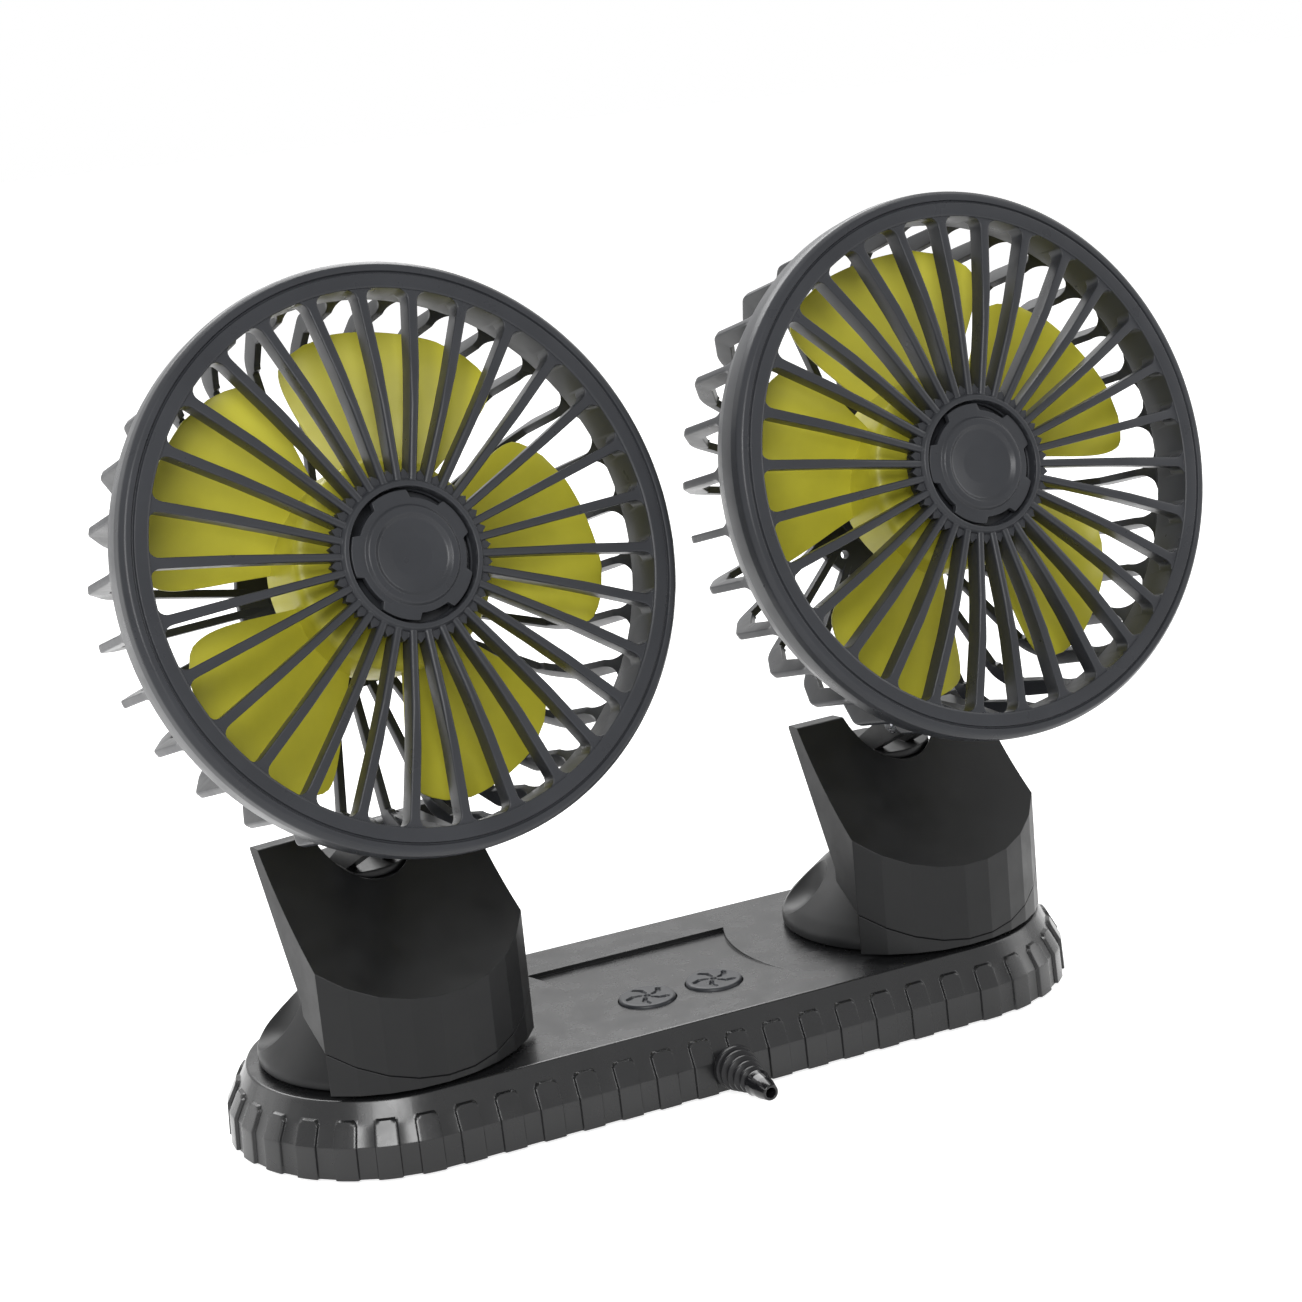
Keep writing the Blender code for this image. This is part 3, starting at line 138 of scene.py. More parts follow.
# Fan head
RING_RADIUS = 0.0630
RING_INNER = 0.0568
RING_DEPTH = 0.0085
SPIGOT_DEPTH = 0.0028
RIB_COUNT = 30
RIB_TURN = math.radians(3.0)
RIB_WIDTH = 1.75
RIB_WIDENING = 0.55
RIB_DEPTH = 5.2 * MM
RIB_KNEE_SINK = 0.6 * MM
RIB_KNEE_RISE = 1.6 * MM
RIB_FLARE_REACH = 2.2 * MM
RIB_FLARE_WIDTH = 4.0 * MM
HUB_RING_RADIUS = 0.0162
HUB_RING_BORE = 0.0112
HUB_RING_DEPTH = 0.0070
HUB_TRENCH_DEPTH = 4.6 * MM
HUB_TOOTH_LENGTH = 1.3 * MM
CAP_LUG_COUNT = 5
CAP_LUG_LENGTH = 1.55 * MM
BAND_RADIUS = 0.0620
BAND_TAPER = 0.0012
BAND_WALL = 0.0020
BAND_REAR = 0.0140
REAR_DEPTH = 0.0480
REAR_DISC_RADIUS = 0.0227
REAR_DISC_THICKNESS = 0.0025
REAR_VENT_COUNT = 4
REAR_VENT_RADIUS = 1.1 * MM
REAR_VENT_CIRCLE = 19.0 * MM
REAR_ARCH_RADIUS = 4.7 * MM
REAR_KNEE_SHARES = ((0.985, 0.70), (0.880, 0.880))
MOTOR_SCREW_RADIUS = 1.6 * MM
MOTOR_SCREW_SPREAD = 7.5 * MM
MOTOR_SLEEVE_WALL = 1.6 * MM
MOTOR_SLEEVE_LENGTH = 12.7 * MM
MOTOR_RADIUS = 0.0120
PIVOT_DROP = 0.0556
PIVOT_DEPTH = 0.0500
GAP = 0.0003

# Impeller
SPIN = {"left": math.radians(5.0), "right": math.radians(29.0)}
BLADE_COUNT = 5
BLADE_TIP_RADIUS = 0.0525
BLADE_THICKNESS = 0.0016
BLADE_MIDDLE = 0.0205
BLADE_PITCH = math.radians(28.0)
BLADE_CUP = 0.8 * MM
BLADE_TIP_START_SHARE = 0.90
BLADE_TIP_WIDTH_SHARE = 0.58
BLADE_SHARES = (0.25, 0.50, 0.76, 0.92, 1.00)
BLADE_LEAD_SHARES = (-0.34, -0.42, -0.46, -0.43, -0.34)
BLADE_TRAIL_SHARES = (0.26, 0.31, 0.34, 0.32, 0.24)
SPINNER_RADIUS = 0.0230
SPINNER_FRONT = 0.0096
SPINNER_LENGTH = 0.0165
SPINNER_WALL = 0.0015
SPINNER_CAP = 6.5 * MM


# Mesh tools

def fillet(outline, radius, steps=3, closed=True):
    """Rounds the corners of an outline of pairs. A third value is that corner's own radius."""
    points = []
    count = len(outline)
    for k, corner in enumerate(outline):
        here = Vector(corner[:2])
        wish = corner[2] if len(corner) > 2 else radius
        before = Vector(outline[k - 1][:2]) - here
        after = Vector(outline[(k + 1) % count][:2]) - here
        end_point = not closed and k in (0, count - 1)
        if end_point or wish <= 0 or before.length < 1e-7 or after.length < 1e-7:
            points.append(here)
            continue
        turn = before.angle(after)
        if turn > math.radians(176.0) or turn < math.radians(4.0):
            points.append(here)
            continue
        reach = min(wish / math.tan(turn / 2), before.length * 0.46, after.length * 0.46)
        start = here + before.normalized() * reach
        end = here + after.normalized() * reach
        for j in range(steps + 1):
            share = j / steps
            points.append(start.lerp(here, share).lerp(here.lerp(end, share), share))
    return points


def loft(rings, shape=None):
    """Skins rings of equal count into a closed body."""
    shape = shape or bmesh.new()
    rows = [[shape.verts.new(point) for point in ring] for ring in rings]
    count = len(rows[0])
    for low, high in zip(rows, rows[1:]):
        for k in range(count):
            nxt = (k + 1) % count
            shape.faces.new((low[k], low[nxt], high[nxt], high[k]))
    shape.faces.new(list(reversed(rows[0])))
    shape.faces.new(rows[-1])
    return shape


def circle(radius, height, steps, centre=(0.0, 0.0)):
    """Points of a level circle."""
    return [
        Vector((
            centre[0] + radius * math.cos(math.tau * k / steps),
            centre[1] + radius * math.sin(math.tau * k / steps),
            height,
        ))
        for k in range(steps)
    ]


def disc(radius, low, high, steps, centre=(0.0, 0.0), shape=None):
    """A round column between two heights."""
    return loft([circle(radius, z, steps, centre) for z in (low, high)], shape)


def turned(profile, steps, sway=None):
    """Turns a closed outline of (radius, height) pairs about the vertical.

    sway(angle, radius) may change a radius.
    """
    shape = bmesh.new()
    rows = []
    for radius, height in profile:
        if radius == 0.0:
            rows.append([shape.verts.new((0.0, 0.0, height))])
            continue
        row = []
        for k in range(steps):
            angle = math.tau * k / steps
            reach = sway(angle, radius) if sway else radius
            row.append(shape.verts.new((reach * math.cos(angle), reach * math.sin(angle), height)))
        rows.append(row)
    for low, high in zip(rows, rows[1:] + rows[:1]):
        for k in range(steps):
            nxt = (k + 1) % steps
            corners = [low[k % len(low)], low[nxt % len(low)]]
            corners += [high[nxt % len(high)], high[k % len(high)]]
            unique = list(dict.fromkeys(corners))
            if len(unique) > 2:
                shape.faces.new(unique)
    return shape


def prism(outline, low, high, axis="z"):
    """Extrudes an outline of pairs: (x, y) upwards, or (y, z) along x."""
    if axis == "x":
        return loft([[Vector((level, a, b)) for a, b in outline] for level in (low, high)])
    return loft([[Vector((a, b, level)) for a, b in outline] for level in (low, high)])


def finish_mesh(shape, name):
    """Turns a bmesh into a mesh, with its face normals recalculated."""
    bmesh.ops.recalc_face_normals(shape, faces=shape.faces)
    mesh = bpy.data.meshes.new(name)
    shape.to_mesh(mesh)
    shape.free()
    return mesh


def draft_object(shape, name="draft"):
    """A plain object for Booleans."""
    made = bpy.data.objects.new(name, finish_mesh(shape, name))
    bpy.context.scene.collection.objects.link(made)
    return made


def join_shapes(body, shape, operation):
    """Applies one Boolean of a bmesh on a draft object."""
    tool = draft_object(shape, "tool")
    step = body.modifiers.new(operation.lower(), "BOOLEAN")
    step.operation = operation
    step.solver = "EXACT"
    step.object = tool
    bpy.context.view_layer.update()
    graph = bpy.context.evaluated_depsgraph_get()
    result = bpy.data.meshes.new_from_object(body.evaluated_get(graph))
    body.modifiers.clear()
    body.data = result
    bpy.data.objects.remove(tool, do_unlink=True)
    return body


# Angles between faces, in degrees, above which an edge stays sharp
FACETED = 8.0
ROUNDED = 32.0


def piece(name, source, look, matrix, body, nodes, sharp=ROUNDED):
    """Places a finished bmesh or draft object as a piece that stands for CAD nodes."""
    made = source if isinstance(source, bpy.types.Object) else draft_object(source, name)
    made.name = name
    made.data.name = name
    made.data.materials.clear()
    made.data.materials.append(look)
    made.data.shade_smooth()
    made.data.set_sharp_from_angle(angle=math.radians(sharp))
    made.data.transform(matrix)
    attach(made, body)
    if nodes:
        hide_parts(*nodes)
    return made


# Materials

def link(tree, start, end):
    """Joins two sockets."""
    tree.links.new(start, end)


def noise_node(tree, coordinates, scale, detail=3.0, rough=0.55):
    """A noise texture on object coordinates."""
    node = tree.nodes.new("ShaderNodeTexNoise")
    node.inputs["Scale"].default_value = scale
    node.inputs["Detail"].default_value = detail
    node.inputs["Roughness"].default_value = rough
    link(tree, coordinates, node.inputs["Vector"])
    return node


def range_node(tree, value, low, high, to_low, to_high):
    """Maps a value from one range to another."""
    node = tree.nodes.new("ShaderNodeMapRange")
    node.inputs["From Min"].default_value = low
    node.inputs["From Max"].default_value = high
    node.inputs["To Min"].default_value = to_low
    node.inputs["To Max"].default_value = to_high
    link(tree, value, node.inputs["Value"])
    return node.outputs["Result"]


def mix_node(tree, share, first, second):
    """Mixes two colours, each a socket or a triple."""
    node = tree.nodes.new("ShaderNodeMix")
    node.data_type = "RGBA"
    link(tree, share, node.inputs[0])
    for socket, colour in ((node.inputs[6], first), (node.inputs[7], second)):
        if isinstance(colour, tuple):
            socket.default_value = (*colour, 1.0)
        else:
            link(tree, colour, socket)
    return node.outputs[2]


CLOUD_SCALE = 38.0
FLECK_SCALE = 700.0
SMEAR_SCALE = 110.0
GRIT_SCALE = 2600.0
GRIT_DEPTH = 0.05 * MM
WORN_EDGE_RADIUS = 0.25 * MM
DARK_SHARE = 0.88
LIGHT_SHARE = 1.14
RUBBED_SHARE = 1.6


def moulded(name, colour, roughness, grain=0.10, edge=0.35, spread=0.06, coat=0.0, metallic=0.0,
            specular=0.5):
    """Moulded plastic or metal: clouded colour, uneven gloss, fine grain, soft and worn edges."""
    made = bpy.data.materials.new(name)
    made.use_nodes = True
    tree = made.node_tree
    shader = tree.nodes["Principled BSDF"]
    shader.inputs["Metallic"].default_value = metallic
    shader.inputs["Coat Weight"].default_value = coat
    shader.inputs["Specular IOR Level"].default_value = specular
    coordinates = tree.nodes.new("ShaderNodeTexCoord").outputs["Object"]
    cloud = noise_node(tree, coordinates, CLOUD_SCALE, 4.0, 0.6)
    fleck = noise_node(tree, coordinates, FLECK_SCALE, 2.0)
    dark = tuple(c * DARK_SHARE for c in colour)
    light = tuple(min(1.0, c * LIGHT_SHARE) for c in colour)
    cloudiness = range_node(tree, cloud.outputs["Fac"], 0.3, 0.7, 0.0, 1.0)
    clouded = mix_node(tree, cloudiness, dark, light)
    fleckiness = range_node(tree, fleck.outputs["Fac"], 0.62, 0.78, 0.0, 0.22)
    flecked = mix_node(tree, fleckiness, clouded, light)
    bevel = tree.nodes.new("ShaderNodeBevel")
    bevel.samples = 4
    bevel.inputs["Radius"].default_value = WORN_EDGE_RADIUS
    facing = tree.nodes.new("ShaderNodeVectorMath")
    facing.operation = "DOT_PRODUCT"
    geometry = tree.nodes.new("ShaderNodeNewGeometry")
    link(tree, bevel.outputs["Normal"], facing.inputs[0])
    link(tree, geometry.outputs["Normal"], facing.inputs[1])
    worn = range_node(tree, facing.outputs["Value"], 0.995, 0.85, 0.0, edge)
    rubbed = tuple(min(1.0, c * RUBBED_SHARE + 0.01) for c in colour)
    link(tree, mix_node(tree, worn, flecked, rubbed), shader.inputs["Base Color"])
    smear = noise_node(tree, coordinates, SMEAR_SCALE, 3.0, 0.65)
    gloss = range_node(tree, smear.outputs["Fac"], 0.3, 0.7, roughness - spread, roughness + spread)
    link(tree, gloss, shader.inputs["Roughness"])
    grit = noise_node(tree, coordinates, GRIT_SCALE, 2.0)
    bump = tree.nodes.new("ShaderNodeBump")
    bump.inputs["Strength"].default_value = grain
    bump.inputs["Distance"].default_value = GRIT_DEPTH
    link(tree, grit.outputs["Fac"], bump.inputs["Height"])
    link(tree, bevel.outputs["Normal"], bump.inputs["Normal"])
    link(tree, bump.outputs["Normal"], shader.inputs["Normal"])
    return made


CHARCOAL = (0.0260, 0.0274, 0.0312)
ARM_BLACK = (0.0055, 0.0057, 0.0061)
DECK_BLACK = (0.010, 0.0102, 0.0108)
RELIEF_BLACK = (0.009, 0.009, 0.010)
TIP_BLACK = (0.006, 0.006, 0.007)
RUBBER_BLACK = (0.020, 0.020, 0.020)
OLIVE = (0.50, 0.465, 0.038)
STEEL_GREY = (0.55, 0.56, 0.58)
BOARD_GREEN = (0.02, 0.14, 0.06)
LOOKS = {
    "shell": moulded("charcoal_plastic", CHARCOAL, 0.32, grain=0.14, edge=0.40, specular=0.22),
    "arm": moulded("arm_plastic", ARM_BLACK, 0.44, grain=0.14, edge=0.45, specular=0.25),
    "deck": moulded("base_plastic", DECK_BLACK, 0.26, grain=0.18, edge=0.40, specular=0.42),
    "dark": moulded("dark_plastic", RELIEF_BLACK, 0.34, specular=0.25),
    "tip": moulded("glossy_tip", TIP_BLACK, 0.12, grain=0.03, edge=0.1, spread=0.03, coat=0.1,
                   specular=0.35),
    "olive": moulded("olive_plastic", OLIVE, 0.38, grain=0.05, edge=0.10, specular=0.35),
    "steel": moulded("steel", STEEL_GREY, 0.28, edge=0.2, spread=0.08, metallic=1.0),
    "rubber": moulded("rubber", RUBBER_BLACK, 0.78, grain=0.5, edge=0.2, spread=0.08),
    "board": moulded("board", BOARD_GREEN, 0.45),
}


# Base cover

def rim_point(distance, radius, height):
    """A point of the base's outline, by its distance along the ridge from the front left."""
    half_loop = PITCH + math.pi * RIDGE_RADIUS
    side = 1.0
    if distance >= half_loop:
        distance -= half_loop
        side = -1.0
    if distance <= PITCH:
        return Vector((side * (distance - PITCH / 2), -side * radius, height))
    angle = (distance - PITCH) / RIDGE_RADIUS - math.pi / 2
    x = side * (PITCH / 2 + radius * math.cos(angle))
    return Vector((x, side * radius * math.sin(angle), height))


def grip_lift(across, climb, half_width, top):
    """How far a grip stands out at a place across it and up it, with round upper corners."""
    beyond_x = abs(across) - (half_width - GRIP_CORNER)
    beyond_y = climb - (top - GRIP_CORNER)
    if beyond_x > 0 and beyond_y > 0:
        inside = GRIP_CORNER - math.hypot(beyond_x, beyond_y)
    else:
        inside = GRIP_CORNER - max(beyond_x, beyond_y)
    share = max(0.0, min(1.0, inside / GRIP_EDGE + 0.5))
    return GRIP_HEIGHT * share * share * (3 - 2 * share)


def cover_shape():
    """The cover's outer form, with grips raised from its wall and slope."""
    profile = fillet([
        (FLOOR_RADIUS, COVER_FOOT, 0.0), (RIDGE_RADIUS, RIDGE_HEIGHT, RIDGE_ROUNDING),
        (DECK_RADIUS, DECK_HEIGHT, DECK_ROUNDING), (DECK_RADIUS - DECK_BORDER, DECK_HEIGHT, 0.0),
    ], 0.0, 5, False)
    fine = [profile[0]]
    for point in profile[1:]:
        span = (point - fine[-1]).length
        pieces = max(1, round(span / PROFILE_STEP))
        start = fine[-1]
        fine += [start.lerp(point, (j + 1) / pieces) for j in range(pieces)]
    ridge = Vector((RIDGE_RADIUS, RIDGE_HEIGHT))
    slope = Vector((DECK_RADIUS, DECK_HEIGHT)) - ridge
    pitch = 2 * (PITCH + math.pi * RIDGE_RADIUS) / GRIP_COUNT
    half = pitch * GRIP_WIDTH_SHARE / 2
    top = slope.length * GRIP_CLIMB_SHARE
    spots = [-half - GRIP_EDGE, -half - GRIP_EDGE / 3, -half + GRIP_EDGE / 3, -half + GRIP_EDGE]
    spots += [-half + GRIP_CORNER * share for share in (0.45, 0.75, 1.1)] + [-half * 0.3]
    spots += [-s for s in reversed(spots)]
    rings = []
    for radius, height in fine:
        climb = (radius - RIDGE_RADIUS) * slope[0] / slope.length
        climb += (height - RIDGE_HEIGHT) * slope[1] / slope.length
        if height < RIDGE_HEIGHT:
            climb = height - RIDGE_HEIGHT
        ring = []
        for k in range(GRIP_COUNT):
            for s in spots:
                lift = grip_lift(s, climb, half, top)
                rise = lift * GRIP_RISE_SHARE * (height > RIDGE_HEIGHT)
                ring.append(rim_point((k + 0.5) * pitch + s, radius + lift, height + rise))
        rings.append(ring)
    return loft(rings)


def stadium(radius, height, steps=40):
    """The base's outline at one height, with plain round ends."""
    points = []
    for side in (1.0, -1.0):
        for k in range(steps + 1):
            angle = math.pi * k / steps - math.pi / 2
            x = side * (PITCH / 2 + radius * math.cos(angle))
            points.append(Vector((x, side * radius * math.sin(angle), height)))
    return points


def tray_shape():
    """The shallow tray's cutter: deep at the rear, flush at the front, with ends round the feet."""
    outline = []
    for side in (1.0, -1.0):
        ends = (TRAY_FRONT, TRAY_REAR) if side > 0 else (TRAY_REAR, TRAY_FRONT)
        angles = [math.asin(y / TRAY_ARC_RADIUS) for y in ends]
        for k in range(25):
            angle = angles[0] + (angles[1] - angles[0]) * k / 24
            x = side * PITCH / 2 - side * TRAY_ARC_RADIUS * math.cos(angle)
            outline.append((x, TRAY_ARC_RADIUS * math.sin(angle)))

    def floor(y):
        return DECK_HEIGHT - TRAY_DEPTH * (y - TRAY_FRONT) / (TRAY_REAR - TRAY_FRONT)

    low = [Vector((x, y, floor(y))) for x, y in outline]
    high = [Vector((x, y, DECK_HEIGHT + OVERRUN)) for x, y in outline]
    return loft([low, high])


def build_base():
    """The cover with its tray and holes, the buttons and the strain relief."""
    cover = draft_object(cover_shape(), "cover")
    ceiling = DECK_HEIGHT - COVER_WALL - TRAY_DEPTH
    join_shapes(cover, loft([
        stadium(FLOOR_RADIUS - COVER_WALL, COVER_FOOT - OVERRUN),
        stadium(RIDGE_RADIUS - COVER_WALL, RIDGE_HEIGHT),
        stadium(DECK_RADIUS - COVER_WALL, ceiling),
    ]), "DIFFERENCE")
    join_shapes(cover, tray_shape(), "DIFFERENCE")
    holes = bmesh.new()
    for side in (1.0, -1.0):
        stem, button = (side * PITCH / 2, 0.0), (side * BUTTON_SPACING / 2, BUTTON_Y)
        for radius, centre in ((STEM_RADIUS, stem), (BUTTON_RADIUS, button)):
            disc(radius + GAP, RIDGE_HEIGHT, DECK_HEIGHT + OVERRUN, 64, centre, holes)
    join_shapes(cover, holes, "DIFFERENCE")
    piece("cover", cover, LOOKS["deck"], Matrix.Identity(4), "base", ["base_cover"],
          28.0)
    for side, name in ((-1.0, "left"), (1.0, "right")):
        place = Matrix.Translation((side * BUTTON_SPACING / 2, BUTTON_Y, 0.0))
        piece(name + "_push", button_shape(), LOOKS["shell"], place, name + "_button_group",
              [name + "_button"], 50.0)
    stand = Matrix.Translation((0.0, -FLOOR_RADIUS, RELIEF_HEIGHT))
    stand @= Matrix.Rotation(math.pi / 2, 4, "X")
    relief, tip = relief_shapes()
    piece("cord_relief", relief, LOOKS["dark"], stand, "base", ["strain_relief"])
    piece("cord_relief_tip", tip, LOOKS["tip"], stand, "base", [])


def bar_share(x, y, first, second, width):
    """How far a place lies inside a round-ended bar, from 0 outside to 1 well inside."""
    along = Vector((second[0] - first[0], second[1] - first[1]))
    place = Vector((x - first[0], y - first[1]))
    t = max(0.0, min(1.0, place.dot(along) / along.length_squared))
    inside = width / 2 - (place - along * t).length
    return max(0.0, min(1.0, inside / BAR_FLANK + 0.5))


def button_shape():
    """A push button whose flat crown is sunk along a ring of bars, like the blades of a fan."""
    top = DECK_HEIGHT + BUTTON_RISE
    shape = bmesh.new()
    steps, rounds = 144, 54
    bars = []
    for k in range(BAR_COUNT):
        angle = BAR_START + math.tau * k / BAR_COUNT
        near, middle, far = (
            (radius * MM * math.cos(angle + bend), radius * MM * math.sin(angle + bend))
            for radius, bend in ((1.7, 0.0), (3.5, 0.10), (4.9, 0.36))
        )
        bars += [(near, middle, 0.95 * MM), (middle, far, 1.15 * MM)]
    rows = []
    for j in range(1, rounds + 1):
        radius = BUTTON_RADIUS * j / rounds
        row = []
        for k in range(steps):
            angle = math.tau * k / steps
            x, y = radius * math.cos(angle), radius * math.sin(angle)
            sunk = max(bar_share(x, y, *bar) for bar in bars)
            dot = max(0.0, min(1.0, (BUTTON_DOT_RADIUS - radius) / BAR_FLANK + 0.5))
            edge = max(0.0, radius - BUTTON_RADIUS + BUTTON_EDGE) / BUTTON_EDGE
            height = top - BAR_SINK * max(sunk, dot) - BUTTON_EDGE_DROP * edge ** 3
            row.append(shape.verts.new((x, y, height)))
        rows.append(row)
    centre = shape.verts.new((0.0, 0.0, top - BAR_SINK))
    bottom = DECK_HEIGHT - BUTTON_FOOT_DEPTH
    low = [shape.verts.new(p) for p in circle(BUTTON_RADIUS, bottom, steps)]
    foot = shape.verts.new((0.0, 0.0, bottom))
    for k in range(steps):
        nxt = (k + 1) % steps
        shape.faces.new((centre, rows[0][k], rows[0][nxt]))
        for inner, outer in zip(rows, rows[1:] + [low]):
            shape.faces.new((inner[k], outer[k], outer[nxt], inner[nxt]))
        shape.faces.new((low[k], foot, low[nxt]))
    return shape


def relief_shapes():
    """The strain relief's ribbed sleeve, and its shiny tapered tip with a bore."""
    back = GRIP_HEIGHT + GAP
    outline = [(RELIEF_BORE, back), (RELIEF_COLLAR, back), (RELIEF_COLLAR, back + 1.5 * MM)]
    outline.append((3.6 * MM, back + 1.9 * MM))
    for k in range(RELIEF_RIB_COUNT):
        start = back + 2.0 * MM + k * RELIEF_RIB_PITCH
        crest = (4.9 - 0.55 * k) * MM
        valley = crest - 1.2 * MM
        outline += [(valley, start + 0.2 * MM), (crest, start + 0.7 * MM)]
        outline += [(crest, start + 1.5 * MM), (valley, start + 2.0 * MM)]
    end = back + RELIEF_SLEEVE_LENGTH
    outline += [(2.7 * MM, end), (RELIEF_BORE, end)]
    sleeve = turned(fillet(outline, 0.3 * MM), 64)
    tip = [
        (RELIEF_BORE, end - 0.5 * MM), (2.9 * MM, end - 0.2 * MM), (3.2 * MM, end + 1.0 * MM),
        (2.8 * MM, end + 2.2 * MM), (2.6 * MM, 16.5 * MM), (1.8 * MM, 19.9 * MM), (1.2 * MM, 19.9 * MM),
        (1.2 * MM, end),
    ]
    return sleeve, turned(fillet(tip, 0.5 * MM), 64)


# Foot, arm and neck

def arm_outline(half_width, radius, steps=9):
    """The round front of the arm's plan, in flat facets."""
    corner = math.asin(half_width / radius)
    return [
        (radius * math.cos(-math.pi / 2 - corner + 2 * corner * k / steps),
         radius * math.sin(-math.pi / 2 - corner + 2 * corner * k / steps))
        for k in range(steps + 1)
    ]


def scoop_curve(steps=30):
    """The scooped front face from its low front edge to its top, as (y, z)."""
    start = Vector((-ARM_RADIUS, SCOOP_FRONT_HEIGHT))
    end = Vector((SCOOP_TOP_BACK, SCOOP_TOP_HEIGHT))
    chord = end - start
    turn = 2 * (math.atan2(chord[1], chord[0]) - SCOOP_FRONT_SLOPE)
    bend = chord.length / (2 * math.sin(turn / 2))
    centre = start + bend * Vector((-math.sin(SCOOP_FRONT_SLOPE), math.cos(SCOOP_FRONT_SLOPE)))
    points = []
    for k in range(steps + 1):
        angle = SCOOP_FRONT_SLOPE + turn * k / steps
        points.append(centre + bend * Vector((math.sin(angle), -math.cos(angle))))
    return points


def seam_height(y, clearance=0.0):
    """Height of the inclined seam between foot and arm."""
    climb = math.tan(SEAM_SLOPE) * (y + ARM_RADIUS)
    return SEAM_FRONT_HEIGHT + climb + clearance / math.cos(SEAM_SLOPE)


def foot_object():
    """The domed foot with its front pedestal and its side dimples."""
    wall = FOOT_RADIUS - FOOT_FACE_PROUD
    dome = [(wall * a, FOOT_DOME_HEIGHT * b, 20.0 * MM) for a, b in DOME_SHARES]
    profile = [(FOOT_HOLLOW_RADIUS, -FOOT_SEAT_DEPTH), (FOOT_HOLLOW_RADIUS, 0.0, 0.0)]
    profile += [(wall, 0.0, 0.4 * MM)] + dome
    profile += [(FOOT_BORE, FOOT_DOME_HEIGHT, 0.0), (FOOT_BORE, -FOOT_SEAT_DEPTH, 0.0)]
    foot = draft_object(turned(fillet(profile, 0.0, 5), 144), "foot")
    outline = arm_outline(ARM_HALF_WIDTH, ARM_RADIUS)
    low = [Vector((x, y, GAP)) for x, y in outline]
    high = [Vector((x, y, seam_height(y))) for x, y in outline]
    join_shapes(foot, loft([low, high]), "UNION")
    reach = 2 * ARM_RADIUS
    wedge = [(-reach, seam_height(-reach)), (reach, seam_height(reach)), (-reach, seam_height(reach))]
    join_shapes(foot, prism(wedge, -reach, reach, "x"), "DIFFERENCE")
    for side in (1.0, -1.0):
        ball = bmesh.new()
        bmesh.ops.create_uvsphere(ball, u_segments=48, v_segments=24, radius=DIMPLE_RADIUS)
        ball.transform(Matrix.Translation((side * DIMPLE_SPREAD, DIMPLE_BACK, DIMPLE_RISE)))
        join_shapes(foot, ball, "DIFFERENCE")
    return foot


def arm_object():
    """The leaning, scooped arm with the round post that seats the neck."""
    reach = 2 * ARM_RADIUS
    top = SCOOP_TOP_HEIGHT
    slab_back = SCOOP_TOP_BACK + SLAB_THICKNESS
    taper = ARM_HALF_WIDTH - ARM_TOP_HALF_WIDTH
    plan = [(-ARM_HALF_WIDTH + taper, slab_back + OVERRUN)] + arm_outline(ARM_HALF_WIDTH, ARM_RADIUS)
    plan.append((ARM_HALF_WIDTH - taper, slab_back + OVERRUN))
    arm = draft_object(prism(plan, 0.0, top + OVERRUN), "arm")
    scoop = scoop_curve()
    slab_foot = top - (slab_back + ARM_BACK) * math.tan(SLAB_BACK_SLOPE)
    side_view = [(point[0], point[1], 0.0) for point in scoop[:-1]]
    side_view += [
        (scoop[-1][0], scoop[-1][1], 0.8 * MM), (slab_back, top, 0.8 * MM),
        (-ARM_BACK, slab_foot, 3.0 * MM),
        (-ARM_BACK, seam_height(-ARM_BACK, GAP), 0.0), (-reach, seam_height(-reach, GAP), 0.0),
        (-reach, scoop[0][1], 0.0),
    ]
    join_shapes(arm, prism(fillet(side_view, 0.0, 6), -reach, reach, "x"), "INTERSECT")
    seat = (0.0, NECK_SETBACK)
    join_shapes(arm, disc(NECK_POST_RADIUS, NECK_POST_FOOT, NECK_SEAT_HEIGHT, 96, seat), "UNION")
    notch = disc(FLANGE_RADIUS + 4 * GAP, NECK_SEAT_HEIGHT, top + 2 * OVERRUN, 96, seat)
    join_shapes(arm, notch, "DIFFERENCE")
    bore = disc(NECK_POST_BORE, NECK_POST_FOOT - OVERRUN, NECK_SEAT_HEIGHT + OVERRUN, 48, seat)
    return join_shapes(arm, bore, "DIFFERENCE")


def pin_hole(y, z):
    """The tilt pin's hole along x."""
    hole = disc(PIN_RADIUS + GAP, -LUG_THICKNESS * 2, LUG_THICKNESS * 2, 32)
    hole.transform(Matrix.Translation((0.0, y, z)) @ Matrix.Rotation(math.pi / 2, 4, "Y"))
    return hole


def neck_object():
    """The neck's flange and its two rounded ears."""
    profile = [
        (0.0, -NECK_STEM_LENGTH, 0.0), (NECK_STEM_RADIUS, -NECK_STEM_LENGTH), (NECK_STEM_RADIUS, GAP),
        (FLANGE_RADIUS, GAP), (FLANGE_RADIUS, FLANGE_THICKNESS, 0.8 * MM), (0.0, FLANGE_THICKNESS, 0.0),
    ]
    neck = draft_object(turned(fillet(profile, 0.3 * MM), 96), "neck")
    inner = LUG_THICKNESS / 2 + GAP
    ear = []
    for k in range(33):
        angle = math.pi * k / 32 - math.radians(20.0)
        y = -PIVOT_FORWARD - EAR_RADIUS * math.cos(angle)
        ear.append((y, PIVOT_HEIGHT + EAR_RADIUS * math.sin(angle)))
    ear.append((EAR_RADIUS, FLANGE_THICKNESS / 2))
    ear.append((-FLANGE_RADIUS + EAR_THICKNESS * 3, FLANGE_THICKNESS / 2))
    for side in (1.0, -1.0):
        join_shapes(neck, prism(ear, side * inner, side * (inner + EAR_THICKNESS), "x"), "UNION")
    return join_shapes(neck, pin_hole(-PIVOT_FORWARD, PIVOT_HEIGHT), "DIFFERENCE")


# Fan head

